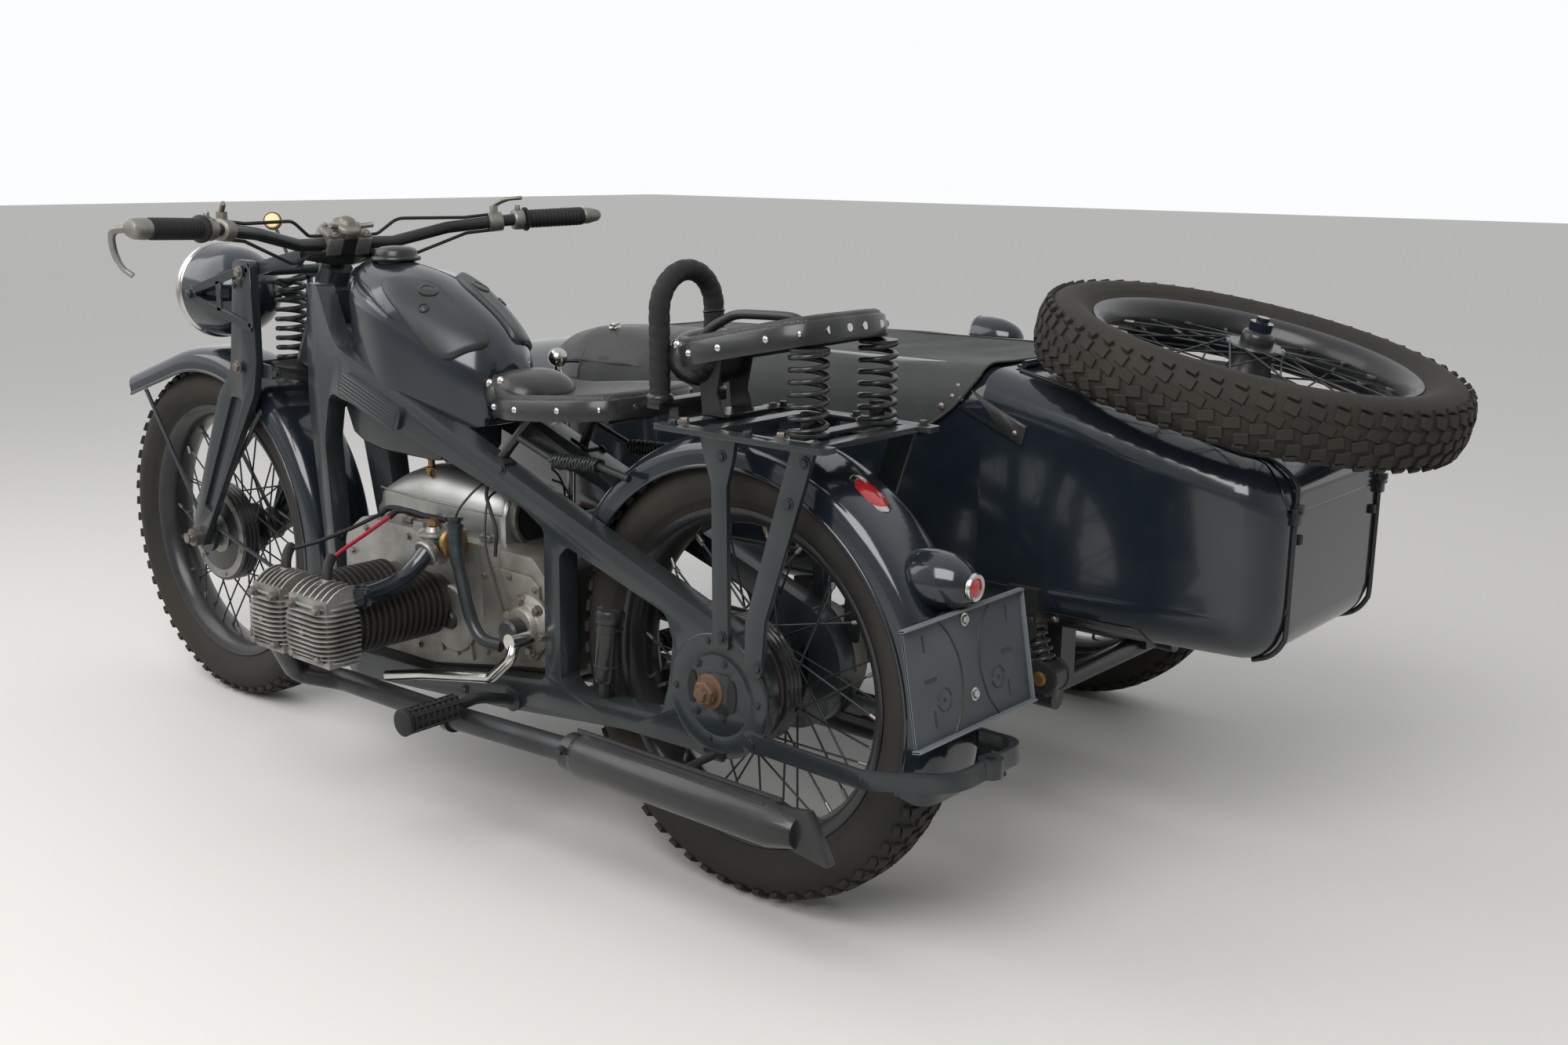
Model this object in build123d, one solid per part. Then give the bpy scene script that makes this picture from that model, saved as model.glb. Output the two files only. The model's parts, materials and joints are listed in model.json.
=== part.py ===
from build123d import *
import math
import os

# A sidecar motorcycle of the 1930s: pressed-steel frame, flat-four engine, girder fork,
# shaft drive on the right, and a sidecar on the right with a spare wheel on its boot lid.
# All sizes are in millimetres. The machine is drawn with the rear axle over the zero point,
# +X forwards, +Y to the rider's left and +Z up from the ground, and every finished piece is
# then moved by ROW_X and ROW_Y so that the zero point lies under the middle of the whole.
ROW_X = 491.0
ROW_Y = -375.0

# Stance
WHEELBASE = 1405.0
SIDE_TRACK = 1155.0
SIDE_LEAD = 132.0

# Wheels, all alike
TYRE_R = 342.0
TYRE_HALF = 54.0
TREAD_HALF = 34.0
RIM_R = 255.0
RIM_HALF = 36.0
RIM_WALL = 4.0
RIM_WELL = 22.0
HUB_HALF = 60.0
HUB_R = 26.0
FLANGE_R = 46.0
DRUM_R = 98.0
DRUM_DEPTH = 34.0
SPOKE_R = 2.2
SPOKES_PER_SIDE = 20
AXLE_R = 10.0
RUN = 0.08
SEAT = 0.2

# Frame of two pressed sides
FRAME_OUT = 108.0
FRAME_IN = 70.0
FRAME_NECK = 30.0
NECK_START = 870.0
NECK_END = 1045.0
NECK_DEPTH = 36.0
LOBE_X = 5.0
LOBE_R = 103.0
CROSS_R = 14.0
RIB_R = 1.6

# Steering head and girder fork
RAKE = 27.0
HEAD_X = 1010.0
HEAD_Z = 920.0
HEAD_TUBE_R = 29.0
HEAD_TOP_Z = 893.0
HEAD_LOW_Z = 712.0
STEM_R = 13.0
BLADE_IN = 82.0
BLADE_T = 14.0
LINK_T = 9.0
UPPER_PIN = (1180.0, 876.0)
LOWER_PIN = (1205.0, 700.0)
PIN_R = 9.0
SPRING_X = 1178.0
SPRING_R = 26.0
SPRING_WIRE = 5.0
SPRING_COILS = 9
YOKE_T = 24.0
YOKE_RISE = 20.0

LAMP_X = 1370.0
LAMP_CENTRE_Z = 826.0

# Handlebar
BAR_R = 11.0
GRIP_R = 17.0
GRIP_LENGTH = 135.0
PERCH_R = 18.0
CABLE_R = 3.0

# Engine
CYLINDER_R = 46.0
FIN_R = 55.0
FIN_T = 3.0
FIN_PITCH = 12.0
CYLINDER_Z = 355.0
HEAD_THICK = 72.0
HEAD_Z_LOW = 298.0
HEAD_Z_HIGH = 414.0
HEAD_OUT = 362.0
CASE_HALF = 92.0
CASE_NARROW = 66.0

# Exhaust
PIPE_R = 19.0
PIPE_Y = 205.0
SILENCER_R = 33.0
SILENCER_Z = 229.0

# Fuel tank and seats
TANK_PAD = 9.0

# Mudguards
GUARD_GAP = 32.0
GUARD_HALF = 67.0
GUARD_WALL = 3.0
GUARD_SIDE = 46.0

REAR_GAP = 24.0
REAR_GUARD_X = 4.0
LAMP_Z = 543.0

# Tail
PLATE_T = 3.0
PLATE_X = -366.0
PLATE_Y = -6.0
PLATE_Z = 430.0
PLATE_TILT = 10.0
REAR_BAR_X = -410.0
REAR_BAR_Z = 302.0
REAR_BAR_DROP = 15.0
LUG_BORE = 7.0
RACK_Z = 717.0
RACK_T = 8.0
RACK_HOLE_X = (30.0, -120.0)
RACK_HOLE_Y = 124.0
RACK_HOLE_R = 4.5
DRIVE_R = 84.0
PEG_X = 436.0
PEG_Z = 229.0
PEG_R = 9.0
ARCH_X = 146.0
ARCH_R = 15.0

# Saddles: nose place, underside height at the nose, tilt up to the rear
PILLION_FRONT = 128.0
PILLION_Z = 790.0
PILLION_TILT = 12.0
PILLION_SPRING_X = -150.0
PILLION_SPRING_Y = 76.0
SADDLE_FRONT = 538.0
SADDLE_Z = 678.0
SADDLE_TILT = 5.5
ARCH_Y = 58.0

# Sidecar
SIDE_Y = -678.0
SHELL = 5.0
COVER_T = 4.0
COVER_GAP = 0.3
LID_HALF = 180.0
LID_FRONT = -118.0
LID_LIP_Z = 596.0
LID_GAP = 5.0
TAIL_FRONT = -101.5
NOSE_REAR = 640.0
LID_SLOPE = 12.66
LEDGE = 4.0
HINGE_R = 6.0
BODY_LEAF = 12.0
LID_LEAF = 24.0
HINGE_PIN_R = 2.5
COVER_REAR = -82.0
COVER_FRONT = 880.0
COVER_DROP = 108.0
STUB_Y = 1020.0
ARM_T = 20.0
LOW_STRUT_X = 925.0
LOW_STRUT_Z = 222.0
STRUT_R = 14.0
SIDE_LAMP_X = 345.0
SIDE_LAMP_Z = 725.0
SIDE_LAMP_R = 42.0
CHASSIS_R = 19.0
CHASSIS_Z = 236.0
CHASSIS_Y = (-470.0, -886.0)
CHASSIS_CROSS = (-190.0, 330.0)
LOOP_REAR = -235.0
ROLLER = (-242.0, -424.0, 288.0)
SPARE_X = -410.0
SPARE_RISE = 83.0


def save(name, *pieces):
    """Move the pieces into the row's frame and write them as one node."""
    solids = [s for piece in pieces for s in piece.solids()]
    moved = [Pos(-ROW_X, -ROW_Y, 0) * s for s in solids]
    export_step(Compound(children=moved) if len(moved) > 1 else moved[0], f"parts/{name}.step")


def both(piece):
    """The piece and its mirror image on the other side of the machine."""
    return [piece, mirror(piece, about=Plane.XZ)]


def outline(points):
    """A face in the XY plane from rows of (x, y, corner radius)."""
    path = FilletPolyline(*[(x, y) for x, y, _ in points], radius=[r for _, _, r in points], close=True)
    return make_face(path)


def side_plate(points, y_low, y_high):
    """A plate standing in the XZ plane from rows of (x, z, corner radius)."""
    return extrude(Plane.XZ.offset(-y_high) * outline(points), y_high - y_low, dir=(0, -1, 0))


def flat_plate(points, z_low, z_high):
    """A plate lying in the XY plane from rows of (x, y, corner radius)."""
    return extrude(Pos(0, 0, z_low) * outline(points), z_high - z_low, dir=(0, 0, 1))


def turned(points):
    """A ring or disc turned about the Y axis from rows of (radius, y)."""
    return revolve(make_face(Polyline(*points, close=True)), axis=Axis.Y)


def bar(start, end, radius):
    """A straight round bar between two points."""
    start, end = Vector(*start), Vector(*end)
    frame = Plane(origin=start, z_dir=end - start)
    return frame * Cylinder(radius, (end - start).length, align=(Align.CENTER, Align.CENTER, Align.MIN))


def tube(points, radius, bends):
    """A round tube along a path with one bend radius, or one for each corner."""
    path = FilletPolyline(*points, radius=bends)
    return sweep(Plane(origin=path @ 0, z_dir=path % 0) * Circle(radius), path=path)


def slab(x, y, z, centre):
    """A plain block of the given size about its centre."""
    return Pos(*centre) * Box(x, y, z)


def on_head(z):
    """The point of the steering axis at height z."""
    return (HEAD_X + (HEAD_Z - z) * math.tan(math.radians(RAKE)), 0, z)


def wheel_rim():
    """A spoked wheel about the Y axis: rim, spokes, hub and brake drum in one piece."""
    flange, base = RIM_R, RIM_R - 14
    well = RIM_R - RIM_WELL
    outer = [(flange, -RIM_HALF), (flange, -RIM_HALF + RIM_WALL), (base, -RIM_HALF + RIM_WALL + 3),
             (well, -14), (well, 14), (base, RIM_HALF - RIM_WALL - 3),
             (flange, RIM_HALF - RIM_WALL), (flange, RIM_HALF)]
    inner = [(base - RIM_WALL, RIM_HALF), (well - RIM_WALL, 16), (well - RIM_WALL, -16),
             (base - RIM_WALL, -RIM_HALF)]
    rim = turned(outer + inner)
    drum_y = HUB_HALF - 8
    hub = turned([(AXLE_R + RUN, -HUB_HALF), (HUB_R, -HUB_HALF), (HUB_R, -38), (FLANGE_R, -38),
                  (FLANGE_R, -32),
                  (HUB_R, -32), (HUB_R, drum_y - DRUM_DEPTH), (DRUM_R, drum_y - DRUM_DEPTH),
                  (DRUM_R, drum_y), (HUB_R, drum_y), (HUB_R, HUB_HALF), (AXLE_R + RUN, HUB_HALF)])
    # one row for each side: flange radius, flange height, rim height
    sides = [(FLANGE_R - 3, -35, -7), (DRUM_R - 3, drum_y - DRUM_DEPTH + 6, 7)]
    spokes = []
    for root_r, root_y, rim_y in sides:
        for k in range(SPOKES_PER_SIDE):
            lean = 62 if k % 2 else -62
            shift = 2.6 if k % 2 else -2.6
            at_rim = 360 * k / SPOKES_PER_SIDE
            at_hub = at_rim + lean * (0.55 if root_r > FLANGE_R else 1)
            spokes.append(bar(polar(root_r, at_hub, root_y + shift), polar(well - 2, at_rim, rim_y + shift),
                              SPOKE_R))
    return rim + hub + spokes


def polar(radius, degrees, y):
    """A point at a radius and angle about the Y axis."""
    return (radius * math.cos(math.radians(degrees)), y, radius * math.sin(math.radians(degrees)))


def wheel_tyre():
    """The plain tyre about the Y axis, seated on the rim."""
    bead = RIM_R - 14 + SEAT
    half = RIM_HALF - RIM_WALL - 3
    left = [(TYRE_R, TREAD_HALF * 0.5), (TYRE_R - 7, TREAD_HALF), (TYRE_R - 18, TYRE_HALF - 7),
            (TYRE_R - 42, TYRE_HALF), (TYRE_R - 64, TYRE_HALF - 6), (RIM_R + SEAT, half + 2), (bead,
                                                                                               half - SEAT)]
    right = [(r, -y) for r, y in reversed(left)]
    return turned(left + right)


def mudguard(start, end, tip, gap=GUARD_GAP):
    """A channel over a wheel about the Y axis between two angles, with a straight tip."""
    crest = TYRE_R + gap
    arc = CenterArc((0, 0, 0), crest, start, end - start)
    path = Plane.XZ * arc
    if tip:
        ahead = path % 0
        path = Wire([Line((path @ 0) - ahead * tip, path @ 0), *path.edges()])
    half, wall, side = GUARD_HALF, GUARD_WALL, GUARD_SIDE
    over = [(half, -side, 0), (half, -14, 12), (half - 24, 0, 26), (-half + 24, 0, 26), (-half, -14, 12),
            (-half, -side, 0)]
    under = [(-half + wall, -side, 0), (-half + wall, -15, 10), (-half + 24, -wall, 24),
             (half - 24, -wall, 24), (half - wall, -15, 10), (half - wall, -side, 0)]
    section = Plane(origin=path @ 0, x_dir=(0, -1, 0), z_dir=path % 0) * outline(over + under)
    return sweep(section, path=path)


def frame_side():
    """The left pressed side of the frame, with its windows, axle lobe and louvred block."""
    outer = [(-48, 434, 8), (640, 674, 300), (900, 772, 80), (965, 866, 20), (1014, 866, 14),
             (1032, 640, 260),
             (990, 400, 200), (986, 265, 70), (900, 172, 60), (740, 184, 0), (470, 207, 300), (180, 240,
                                                                                               200), (40,
                                                                                                      243, 0)]
    engine_window = [(962, 590, 60), (930, 682, 34), (852, 672, 30), (712, 640, 30), (400, 551, 60),
                     (352, 525, 18),
                     (357, 278, 16), (470, 262, 60), (660, 228, 80), (860, 222, 50), (932, 300, 40)]
    rear_window = [(300, 506, 14), (318, 488, 12), (320, 290, 16), (302, 272, 14), (100, 281, 16),
                   (84, 330, 40), (74, 400, 30), (88, 440, 24)]
    side = side_plate(outer, 0, FRAME_OUT + 1) + axle_disc(LOBE_R, 0, FRAME_OUT + 1)
    side -= [side_plate(w, -1, FRAME_OUT + 2) for w in (engine_window, rear_window)]
    side = side & (outer_space() - inner_space())
    side -= bar((PEG_X, FRAME_IN - 1, PEG_Z), (PEG_X, FRAME_OUT + 1, PEG_Z), PEG_R + SEAT)
    slot = side_plate([(30, 318, 8), (46, 318, 8), (46, 372, 8), (30, 372, 8)], FRAME_IN - 1, FRAME_OUT + 1)
    side -= [slot, Pos(-66, 0, 0) * slot, bar((0, FRAME_IN - 1, TYRE_R), (0, FRAME_OUT + 1, TYRE_R), AXLE_R)]
    block = side_plate([(866, 712, 8), (842, 726, 8), (690, 676, 12), (706, 636, 14), (868, 684, 8)],
                       FRAME_OUT - 2, FRAME_OUT + 10)
    ribs = []
    for k in range(6):
        low = (702 + 2.2 * k, FRAME_OUT + 10, 672 - 6.3 * k)
        ribs.append(bar(low, (low[0] + 150, low[1], low[2] + 50), RIB_R))
    return side + [block, *ribs]


def plan_block(y_body, y_neck, corner):
    """The upright block over the frame's plan, y_body to each side, narrowing to y_neck at the neck."""
    half = [(-300, y_body, 0), (NECK_START, y_body, corner), (NECK_END, y_neck, 0),
            (NECK_END + 80, y_neck, 0)]
    return flat_plate([*half, *[(x, -y, r) for x, y, r in reversed(half)]], 0, 1000)


def inner_space(clearance=0.0):
    """The space between the two frame sides, less a clearance."""
    return plan_block(FRAME_IN - clearance, FRAME_NECK - clearance, 0)


def outer_space(clearance=0.0):
    """The space out to the outer faces of the frame sides, with a clearance."""
    return plan_block(FRAME_OUT + clearance, FRAME_NECK + NECK_DEPTH + clearance, 120)


def beam_top(x):
    """Height of the frame's sloping upper edge at x, between the axle lobe and the tank."""
    return 434 + (x + 48) * (674 - 434) / 688


def frame_top(x):
    """Height of the frame's upper edge under the tank at x, between the beam and the neck."""
    return 674 + (x - 640) * (772 - 674) / 260 if x > 640 else beam_top(x)


def axle_disc(radius, y_low, y_high):
    """A disc about the rear axle."""
    return bar((LOBE_X, y_low, TYRE_R), (LOBE_X, y_high, TYRE_R), radius)


def cross_tubes():
    """Round tubes that hold the two frame sides apart, one row (x, z) each."""
    reach = TYRE_R + REAR_GAP + CROSS_R + SEAT
    front = (REAR_GUARD_X + reach * math.cos(math.radians(30)), TYRE_R + reach * math.sin(math.radians(30)))
    return [bar((x, -FRAME_IN, z), (x, FRAME_IN, z), CROSS_R) & inner_space() for x,
            z in ((LOW_STRUT_X, 240), front)]


def steering_head():
    """The head tube and the web that joins it to the necks of the frame sides."""
    tube_axis = (on_head(HEAD_TOP_Z), on_head(HEAD_LOW_Z))
    web = side_plate([(952, 854, 0), (1018, 854, 0), (1052, 800, 0), (1108, 718, 0), (1060, 700, 0),
                      (1030, 640, 0),
                      (985, 640, 0), (952, 800, 0)], -FRAME_IN, FRAME_IN)
    return (web & inner_space()) + bar(*tube_axis, HEAD_TUBE_R) - bar(on_head(950), on_head(600),
                                                                      STEM_R + RUN)


def tank_form(extra=0.0):
    """The upper tank, or the same form grown sideways. Rows: x, low half, top half, low, shoulder, high."""
    low = {x: frame_top(x) + SEAT for x in (599, 687, 760, 862)}
    rows = [(556, 56, 32, 655, 716, 784), (599, 86, 46, low[599], 746, 824),
            (687, 108, 56, low[687], 798, 872),
            (760, 116, 58, low[760], 826, 898), (862, 88, 50, low[862], 840, 914), (897, 60, 42, 778, 846,
                                                                                    911),
            (938, 44, 26, 800, 850, 903)]
    faces = []
    for x, low_half, top_half, foot, shoulder, high in rows:
        w, t = low_half + extra, top_half + extra * 0.5
        faces.append(Plane.YZ.offset(x) * outline([(-w, foot, 10), (w, foot, 10), (w, shoulder, 24),
                                                   (t, high, 18),
                                                   (-t, high, 18), (-w, shoulder, 24)]))
    return loft(faces, ruled=True)


def fuel_tank():
    """The tank with its sump between the frame sides and the neck of the filler."""
    sump = side_plate([(620, 640, 10), (650, 586, 24), (822, 583, 30), (905, 598, 30), (936, 660, 30),
                       (936, 830, 0),
                       (640, 760, 0)], -FRAME_IN, FRAME_IN) & inner_space(6)
    neck = bar((846, 0, 905), (846, 0, 918), 34)
    return tank_form() + sump + neck


def knee_pads():
    """Rubber pads on both flanks of the tank."""
    area = side_plate([(752, 884, 30), (610, 872, 40), (540, 770, 20), (575, 738, 20), (700, 762, 30),
                       (768, 800, 30)], 20, 150)
    pad = (tank_form(TANK_PAD) & area) - tank_form(SEAT)
    return both(pad.solids().sort_by(SortBy.VOLUME)[-1])


def engine_case():
    """The crankcase and gearbox as one block, its sump between the frame sides."""
    wide = side_plate([(366, 436, 20), (366, 292, 20), (475, 273, 30), (662, 239, 40), (846, 236, 50),
                       (908, 312, 40),
                       (905, 430, 40), (850, 468, 30), (400, 468, 20)], -CASE_HALF, CASE_HALF)
    narrow = side_plate([(358, 440, 20), (358, 262, 20), (470, 246, 30), (660, 200, 20), (850, 196, 30),
                         (905, 250, 30), (905, 430, 20), (380, 462, 20)], -CASE_NARROW, CASE_NARROW)
    return wide + (narrow & inner_space(FRAME_IN - CASE_NARROW))


def top_cover():
    """The long rounded cover over the crankcase with the intake ring at its rear."""
    rows = [(440, 62, 552), (520, 66, 566), (700, 66, 570), (800, 60, 545), (874, 40, 486)]
    faces = [Plane.YZ.offset(x) * outline([(-w, 468, 0), (w, 468, 0), (w, high - 4, 30 if high > 500 else 8),
                                           (-w, high - 4, 30 if high > 500 else 8)]) for x, w, high in rows]
    ring = bar((412, 0, 512), (441, 0, 512), 44) - bar((411, 0, 512), (436, 0, 512), 34)
    return loft(faces, ruled=True) + ring


# One row for each cylinder of a bank: centre, half length of its head
CYLINDERS = [(643.0, 62.0), (758.0, 50.0)]


def barrel(x):
    """A finned barrel on the left side."""
    body = bar((x, CASE_HALF, CYLINDER_Z), (x, HEAD_OUT - HEAD_THICK, CYLINDER_Z), CYLINDER_R)
    fins = []
    y = CASE_HALF + 24
    while y < HEAD_OUT - HEAD_THICK - FIN_T:
        fins.append(bar((x, y, CYLINDER_Z), (x, y + FIN_T, CYLINDER_Z), FIN_R))
        y += FIN_PITCH
    return body + fins


def cylinder_head(x, half):
    """A head with level fins and a plug boss."""
    y_in = HEAD_OUT - HEAD_THICK
    core = slab(2 * half - 20, HEAD_THICK - 8, HEAD_Z_HIGH - HEAD_Z_LOW - 4,
                (x, y_in + HEAD_THICK / 2 - 4, (HEAD_Z_LOW + HEAD_Z_HIGH) / 2))
    fin_face = [(x - half, y_in, 0), (x - half, HEAD_OUT, 16), (x + half, HEAD_OUT, 28), (x + half, y_in, 0)]
    count = int((HEAD_Z_HIGH - HEAD_Z_LOW) / FIN_PITCH) + 1
    lows = [HEAD_Z_LOW + k * FIN_PITCH for k in range(count)]
    fins = [flat_plate(fin_face, low, low + FIN_T) for low in lows]
    plug = bar((x + 12, y_in + 20, HEAD_Z_HIGH - 6), (x + 12, y_in + 2, HEAD_Z_HIGH + 34), 9)
    return core + fins + plug


def intake_pipes():
    """The stub pipe from the rear barrel into the carburettor body, one each side."""
    body = bar((470, CASE_HALF, 420), (470, CASE_HALF + 34, 420), 24) + bar((470, CASE_HALF + 17, 415),
                                                                            (470, CASE_HALF + 17, 462), 17)
    pipe = tube([(470, CASE_HALF + 20, 421), (500, 196, 402), (600, 236, 384)], 15, 60)
    pipe -= bar((CYLINDERS[0][0], CASE_HALF, CYLINDER_Z), (CYLINDERS[0][0], HEAD_OUT, CYLINDER_Z),
                FIN_R + SEAT)
    return both(body + pipe)


def exhaust_pipe():
    """The left header from the front barrel down and back to the silencer."""
    pipe = tube([(779, 319, HEAD_Z_LOW + 14), (836, 250, 222), (770, PIPE_Y, 212), (470, PIPE_Y, 216),
                 (190, PIPE_Y, SILENCER_Z)],
                PIPE_R, [26, 60, 300])
    return pipe - slab(90, 90, 60, (788, 308, HEAD_Z_LOW - SEAT + 30))


def silencer():
    """The left silencer with its fishtail."""
    body = revolve(Plane.XY * make_face(Polyline((190, 0), (190, PIPE_R + 4), (160, SILENCER_R),
                                                 (-205, SILENCER_R),
                                                 (-250, 22), (-250, 0), close=True)), axis=Axis.X)
    tail = side_plate([(-215, 26, 0), (-268, 34, 4), (-308, -34, 4), (-215, -22, 0)], -7, 7)
    seam = slab(395, 3, 8, (-22, 0, SILENCER_R + 3))
    collar = revolve(make_face(Polyline((176, 0), (176, PIPE_R + 8), (188, PIPE_R + 8), (188, 0),
                                        close=True)), axis=Axis.X)
    form = (body + tail + seam + collar) - bar((170, 0, 0), (200, 0, 0), PIPE_R + SEAT)
    hanger = side_plate([(-30, 241, 4), (10, 241, 4), (10, 256, 4), (-30, 256, 4)], FRAME_OUT + SEAT,
                        FRAME_OUT + 5)
    strap = bar((-10, FRAME_OUT + 2, 248), (-10, PIPE_Y - 10, SILENCER_Z + 14), 6)
    return Pos(0, PIPE_Y, SILENCER_Z) * form + (hanger + strap)


def foot_controls():
    """The kick starter on the left, the brake pedal and the gear lever on the right."""
    kick = bar((386, CASE_HALF, 346), (386, CASE_HALF + 64, 346), 13)
    kick += tube([(386, CASE_HALF + 50, 346), (378, CASE_HALF + 66, 322), (420, 165, 282), (560, 190, 264),
                  (640, 205, 248)], 9, [16, 20, 60])
    pedal = tube([(420, -CASE_HALF, 292), (420, -150, 292), (470, -190, 270), (640, -190, 262),
                  (660, -190, 262)], 8, [14, 20, 60])
    pedal += slab(40, 46, 6, (650, -196, 272))
    gear = tube([(560, -CASE_HALF, 440), (560, -136, 440), (560, -140, 560), (590, -140, 740)], 7, [12, 60])
    gear += Pos(590, -140, 750) * Sphere(17)
    return kick, pedal, gear


def footrests():
    """A bent rod through the frame sides with a ribbed rubber on each end."""
    left = [(428, 332, 250), (434, 180, 250), (PEG_X, FRAME_OUT + 4, PEG_Z)]
    pegs = tube([*left, *[(x, -y, z) for x, y, z in reversed(left)]], PEG_R, 24)
    rubber = bar((430, 230, 250), (428, 330, 250), 17)
    rubber += [bar((430, 233 + 17 * k, 250), (430, 239 + 17 * k, 250), 20) for k in range(6)]
    return [pegs + both(rubber)]


def final_drive():
    """The bevel housing on the right of the rear axle with the shaft tube to the gearbox."""
    side = -FRAME_OUT
    housing = bar((0, side - SEAT, TYRE_R), (0, side - 46, TYRE_R), DRIVE_R) - bar((0, side + 1, TYRE_R),
                                                                                   (0, side - 60,
                                                                                    TYRE_R), AXLE_R + SEAT)
    lid = bar((0, side - 46, TYRE_R), (0, side - 58, TYRE_R), 60) - bar((0, side - 40, TYRE_R),
                                                                        (0, side - 60, TYRE_R), AXLE_R + SEAT)
    shaft = bar((60, side - 24, TYRE_R), (440, side - 24, TYRE_R + 10), 18)
    boss = bar((430, -CASE_HALF, TYRE_R + 10), (430, side - 44, TYRE_R + 10), 30)
    return housing + lid + shaft + boss


def rear_axle():
    """The axle through the rear wheel with its spacers, flats and left nut."""
    rod = bar((0, -190, TYRE_R), (0, FRAME_OUT + 16, TYRE_R), AXLE_R)
    spacers = [bar((0, s * (HUB_HALF + 1), TYRE_R), (0, s * FRAME_IN, TYRE_R), 17) for s in (-1, 1)]
    nuts = [bar((0, FRAME_OUT, TYRE_R), (0, FRAME_OUT + 13, TYRE_R), 19),
            bar((0, -FRAME_OUT - 58, TYRE_R), (0, -FRAME_OUT - 72, TYRE_R), 19)]
    return rod + spacers + nuts


def rear_mudguard():
    """The guard over the rear wheel, carried by the frame sides and the carrier."""
    return Pos(REAR_GUARD_X, 0, TYRE_R) * mudguard(26, 196, 0, REAR_GAP)


def tail_lamp():
    """A pod seated on the mudguard and the round lens at its rear."""
    pod = revolve(make_face(Polyline((-370, 0), (-370, 18), (-360, 26), (-336, 40), (-306, 41), (-280, 34),
                                     (-280, 0),
                                     close=True)), axis=Axis.X)
    pod = Pos(0, 0, LAMP_Z) * pod
    crest = TYRE_R + REAR_GAP + SEAT
    pod -= bar((REAR_GUARD_X, -60, TYRE_R), (REAR_GUARD_X, 60, TYRE_R), crest)
    lens = bar((-370 - SEAT, 0, LAMP_Z), (-377, 0, LAMP_Z), 15)
    return pod, lens


def number_plate():
    """A blank plate with a folded rim and its bracket on the mudguard."""
    face = slab(PLATE_T, 274, 156, (0, 0, 0)) + slab(12, 280, 4, (-3, 0, -79)) + slab(8, 280, 4, (-2, 0, 79))
    place = Pos(PLATE_X, PLATE_Y, PLATE_Z) * Rot(0, PLATE_TILT, 0)
    bracket = place * slab(60, 60, 70, (PLATE_T / 2 + 30, 0, 0))
    crest = TYRE_R + REAR_GAP + SEAT
    bracket -= bar((REAR_GUARD_X, -60, TYRE_R), (REAR_GUARD_X, 60, TYRE_R), crest)
    return place * face + bracket


def rear_bar():
    """A flat bar around the tail, from lobe to lobe, with a bored lug at its middle."""
    low = REAR_BAR_Z - REAR_BAR_DROP
    half = [(-92, FRAME_OUT + 5, low), (-290, FRAME_OUT + 13, low), (REAR_BAR_X, 84, REAR_BAR_Z)]
    path = FilletPolyline(*half, *[(x, -y, z) for x, y, z in reversed(half)], radius=[60, 45, 45, 60])
    section = Plane(origin=path @ 0, x_dir=(0, 1, 0), z_dir=path % 0) * Rectangle(8, 26)
    end = side_plate([(-70, low - 15, 8), (-70, low + 15, 8), (-110, low + 15, 0), (-110, low - 15, 0)],
                     FRAME_OUT + SEAT, FRAME_OUT + 9)
    lug = bar((REAR_BAR_X, 0, REAR_BAR_Z - 13), (REAR_BAR_X, 0, REAR_BAR_Z + 13), 17)
    bore = bar((REAR_BAR_X, 0, REAR_BAR_Z - 20), (REAR_BAR_X, 0, REAR_BAR_Z + 20), LUG_BORE)
    drive = bar((0, -FRAME_OUT, TYRE_R), (0, -FRAME_OUT - 60, TYRE_R), DRIVE_R + SEAT)
    return sweep(section, path=path) + both(end) + lug - bore - drive


def carrier():
    """The rack over the rear wheel: two rails, three cross bars, and four legs to the lobes."""
    y_in, y_out = FRAME_OUT + SEAT, FRAME_OUT + 8
    front_leg = side_plate([(12, RACK_Z, 0), (-54, RACK_Z, 0), (-50, 690, 10), (-38, 648, 20),
                            (-42, 412, 6), (-12, 412, 6),
                            (-10, 648, 20), (6, 690, 10)], y_in, y_out)
    rear_leg = side_plate([(-154, RACK_Z, 0), (-194, RACK_Z, 0), (-110, 470, 20), (-102, 384, 8),
                           (-72, 384, 8), (-74, 462, 20)],
                          y_in, y_out)
    rail = flat_plate([(90, FRAME_OUT - 4, 4), (90, FRAME_OUT + 26, 10), (-222, FRAME_OUT + 26, 10),
                       (-222, FRAME_OUT - 4, 4)],
                      RACK_Z, RACK_Z + RACK_T)
    holes = [bar((x, RACK_HOLE_Y, RACK_Z - 5), (x, RACK_HOLE_Y, RACK_Z + 15),
                 RACK_HOLE_R) for x in RACK_HOLE_X]
    half = front_leg + rear_leg + rail - holes
    cross = [flat_plate([(x - 13, -FRAME_OUT, 0), (x + 13, -FRAME_OUT, 0), (x + 13, FRAME_OUT, 0),
                         (x - 13, FRAME_OUT, 0)],
                        RACK_Z, RACK_Z + RACK_T) for x in (70, REAR_GUARD_X, -190)]
    crest = TYRE_R + REAR_GAP + SEAT
    saddle = slab(26, 60, 12, (REAR_GUARD_X, 0, RACK_Z - 3)) - bar((REAR_GUARD_X, -60, TYRE_R),
                                                                   (REAR_GUARD_X, 60, TYRE_R), crest)
    drive = bar((0, -FRAME_OUT, TYRE_R), (0, -FRAME_OUT - 20, TYRE_R), DRIVE_R + SEAT)
    return half + (mirror(half, about=Plane.XZ) - drive) + cross + saddle


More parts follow.
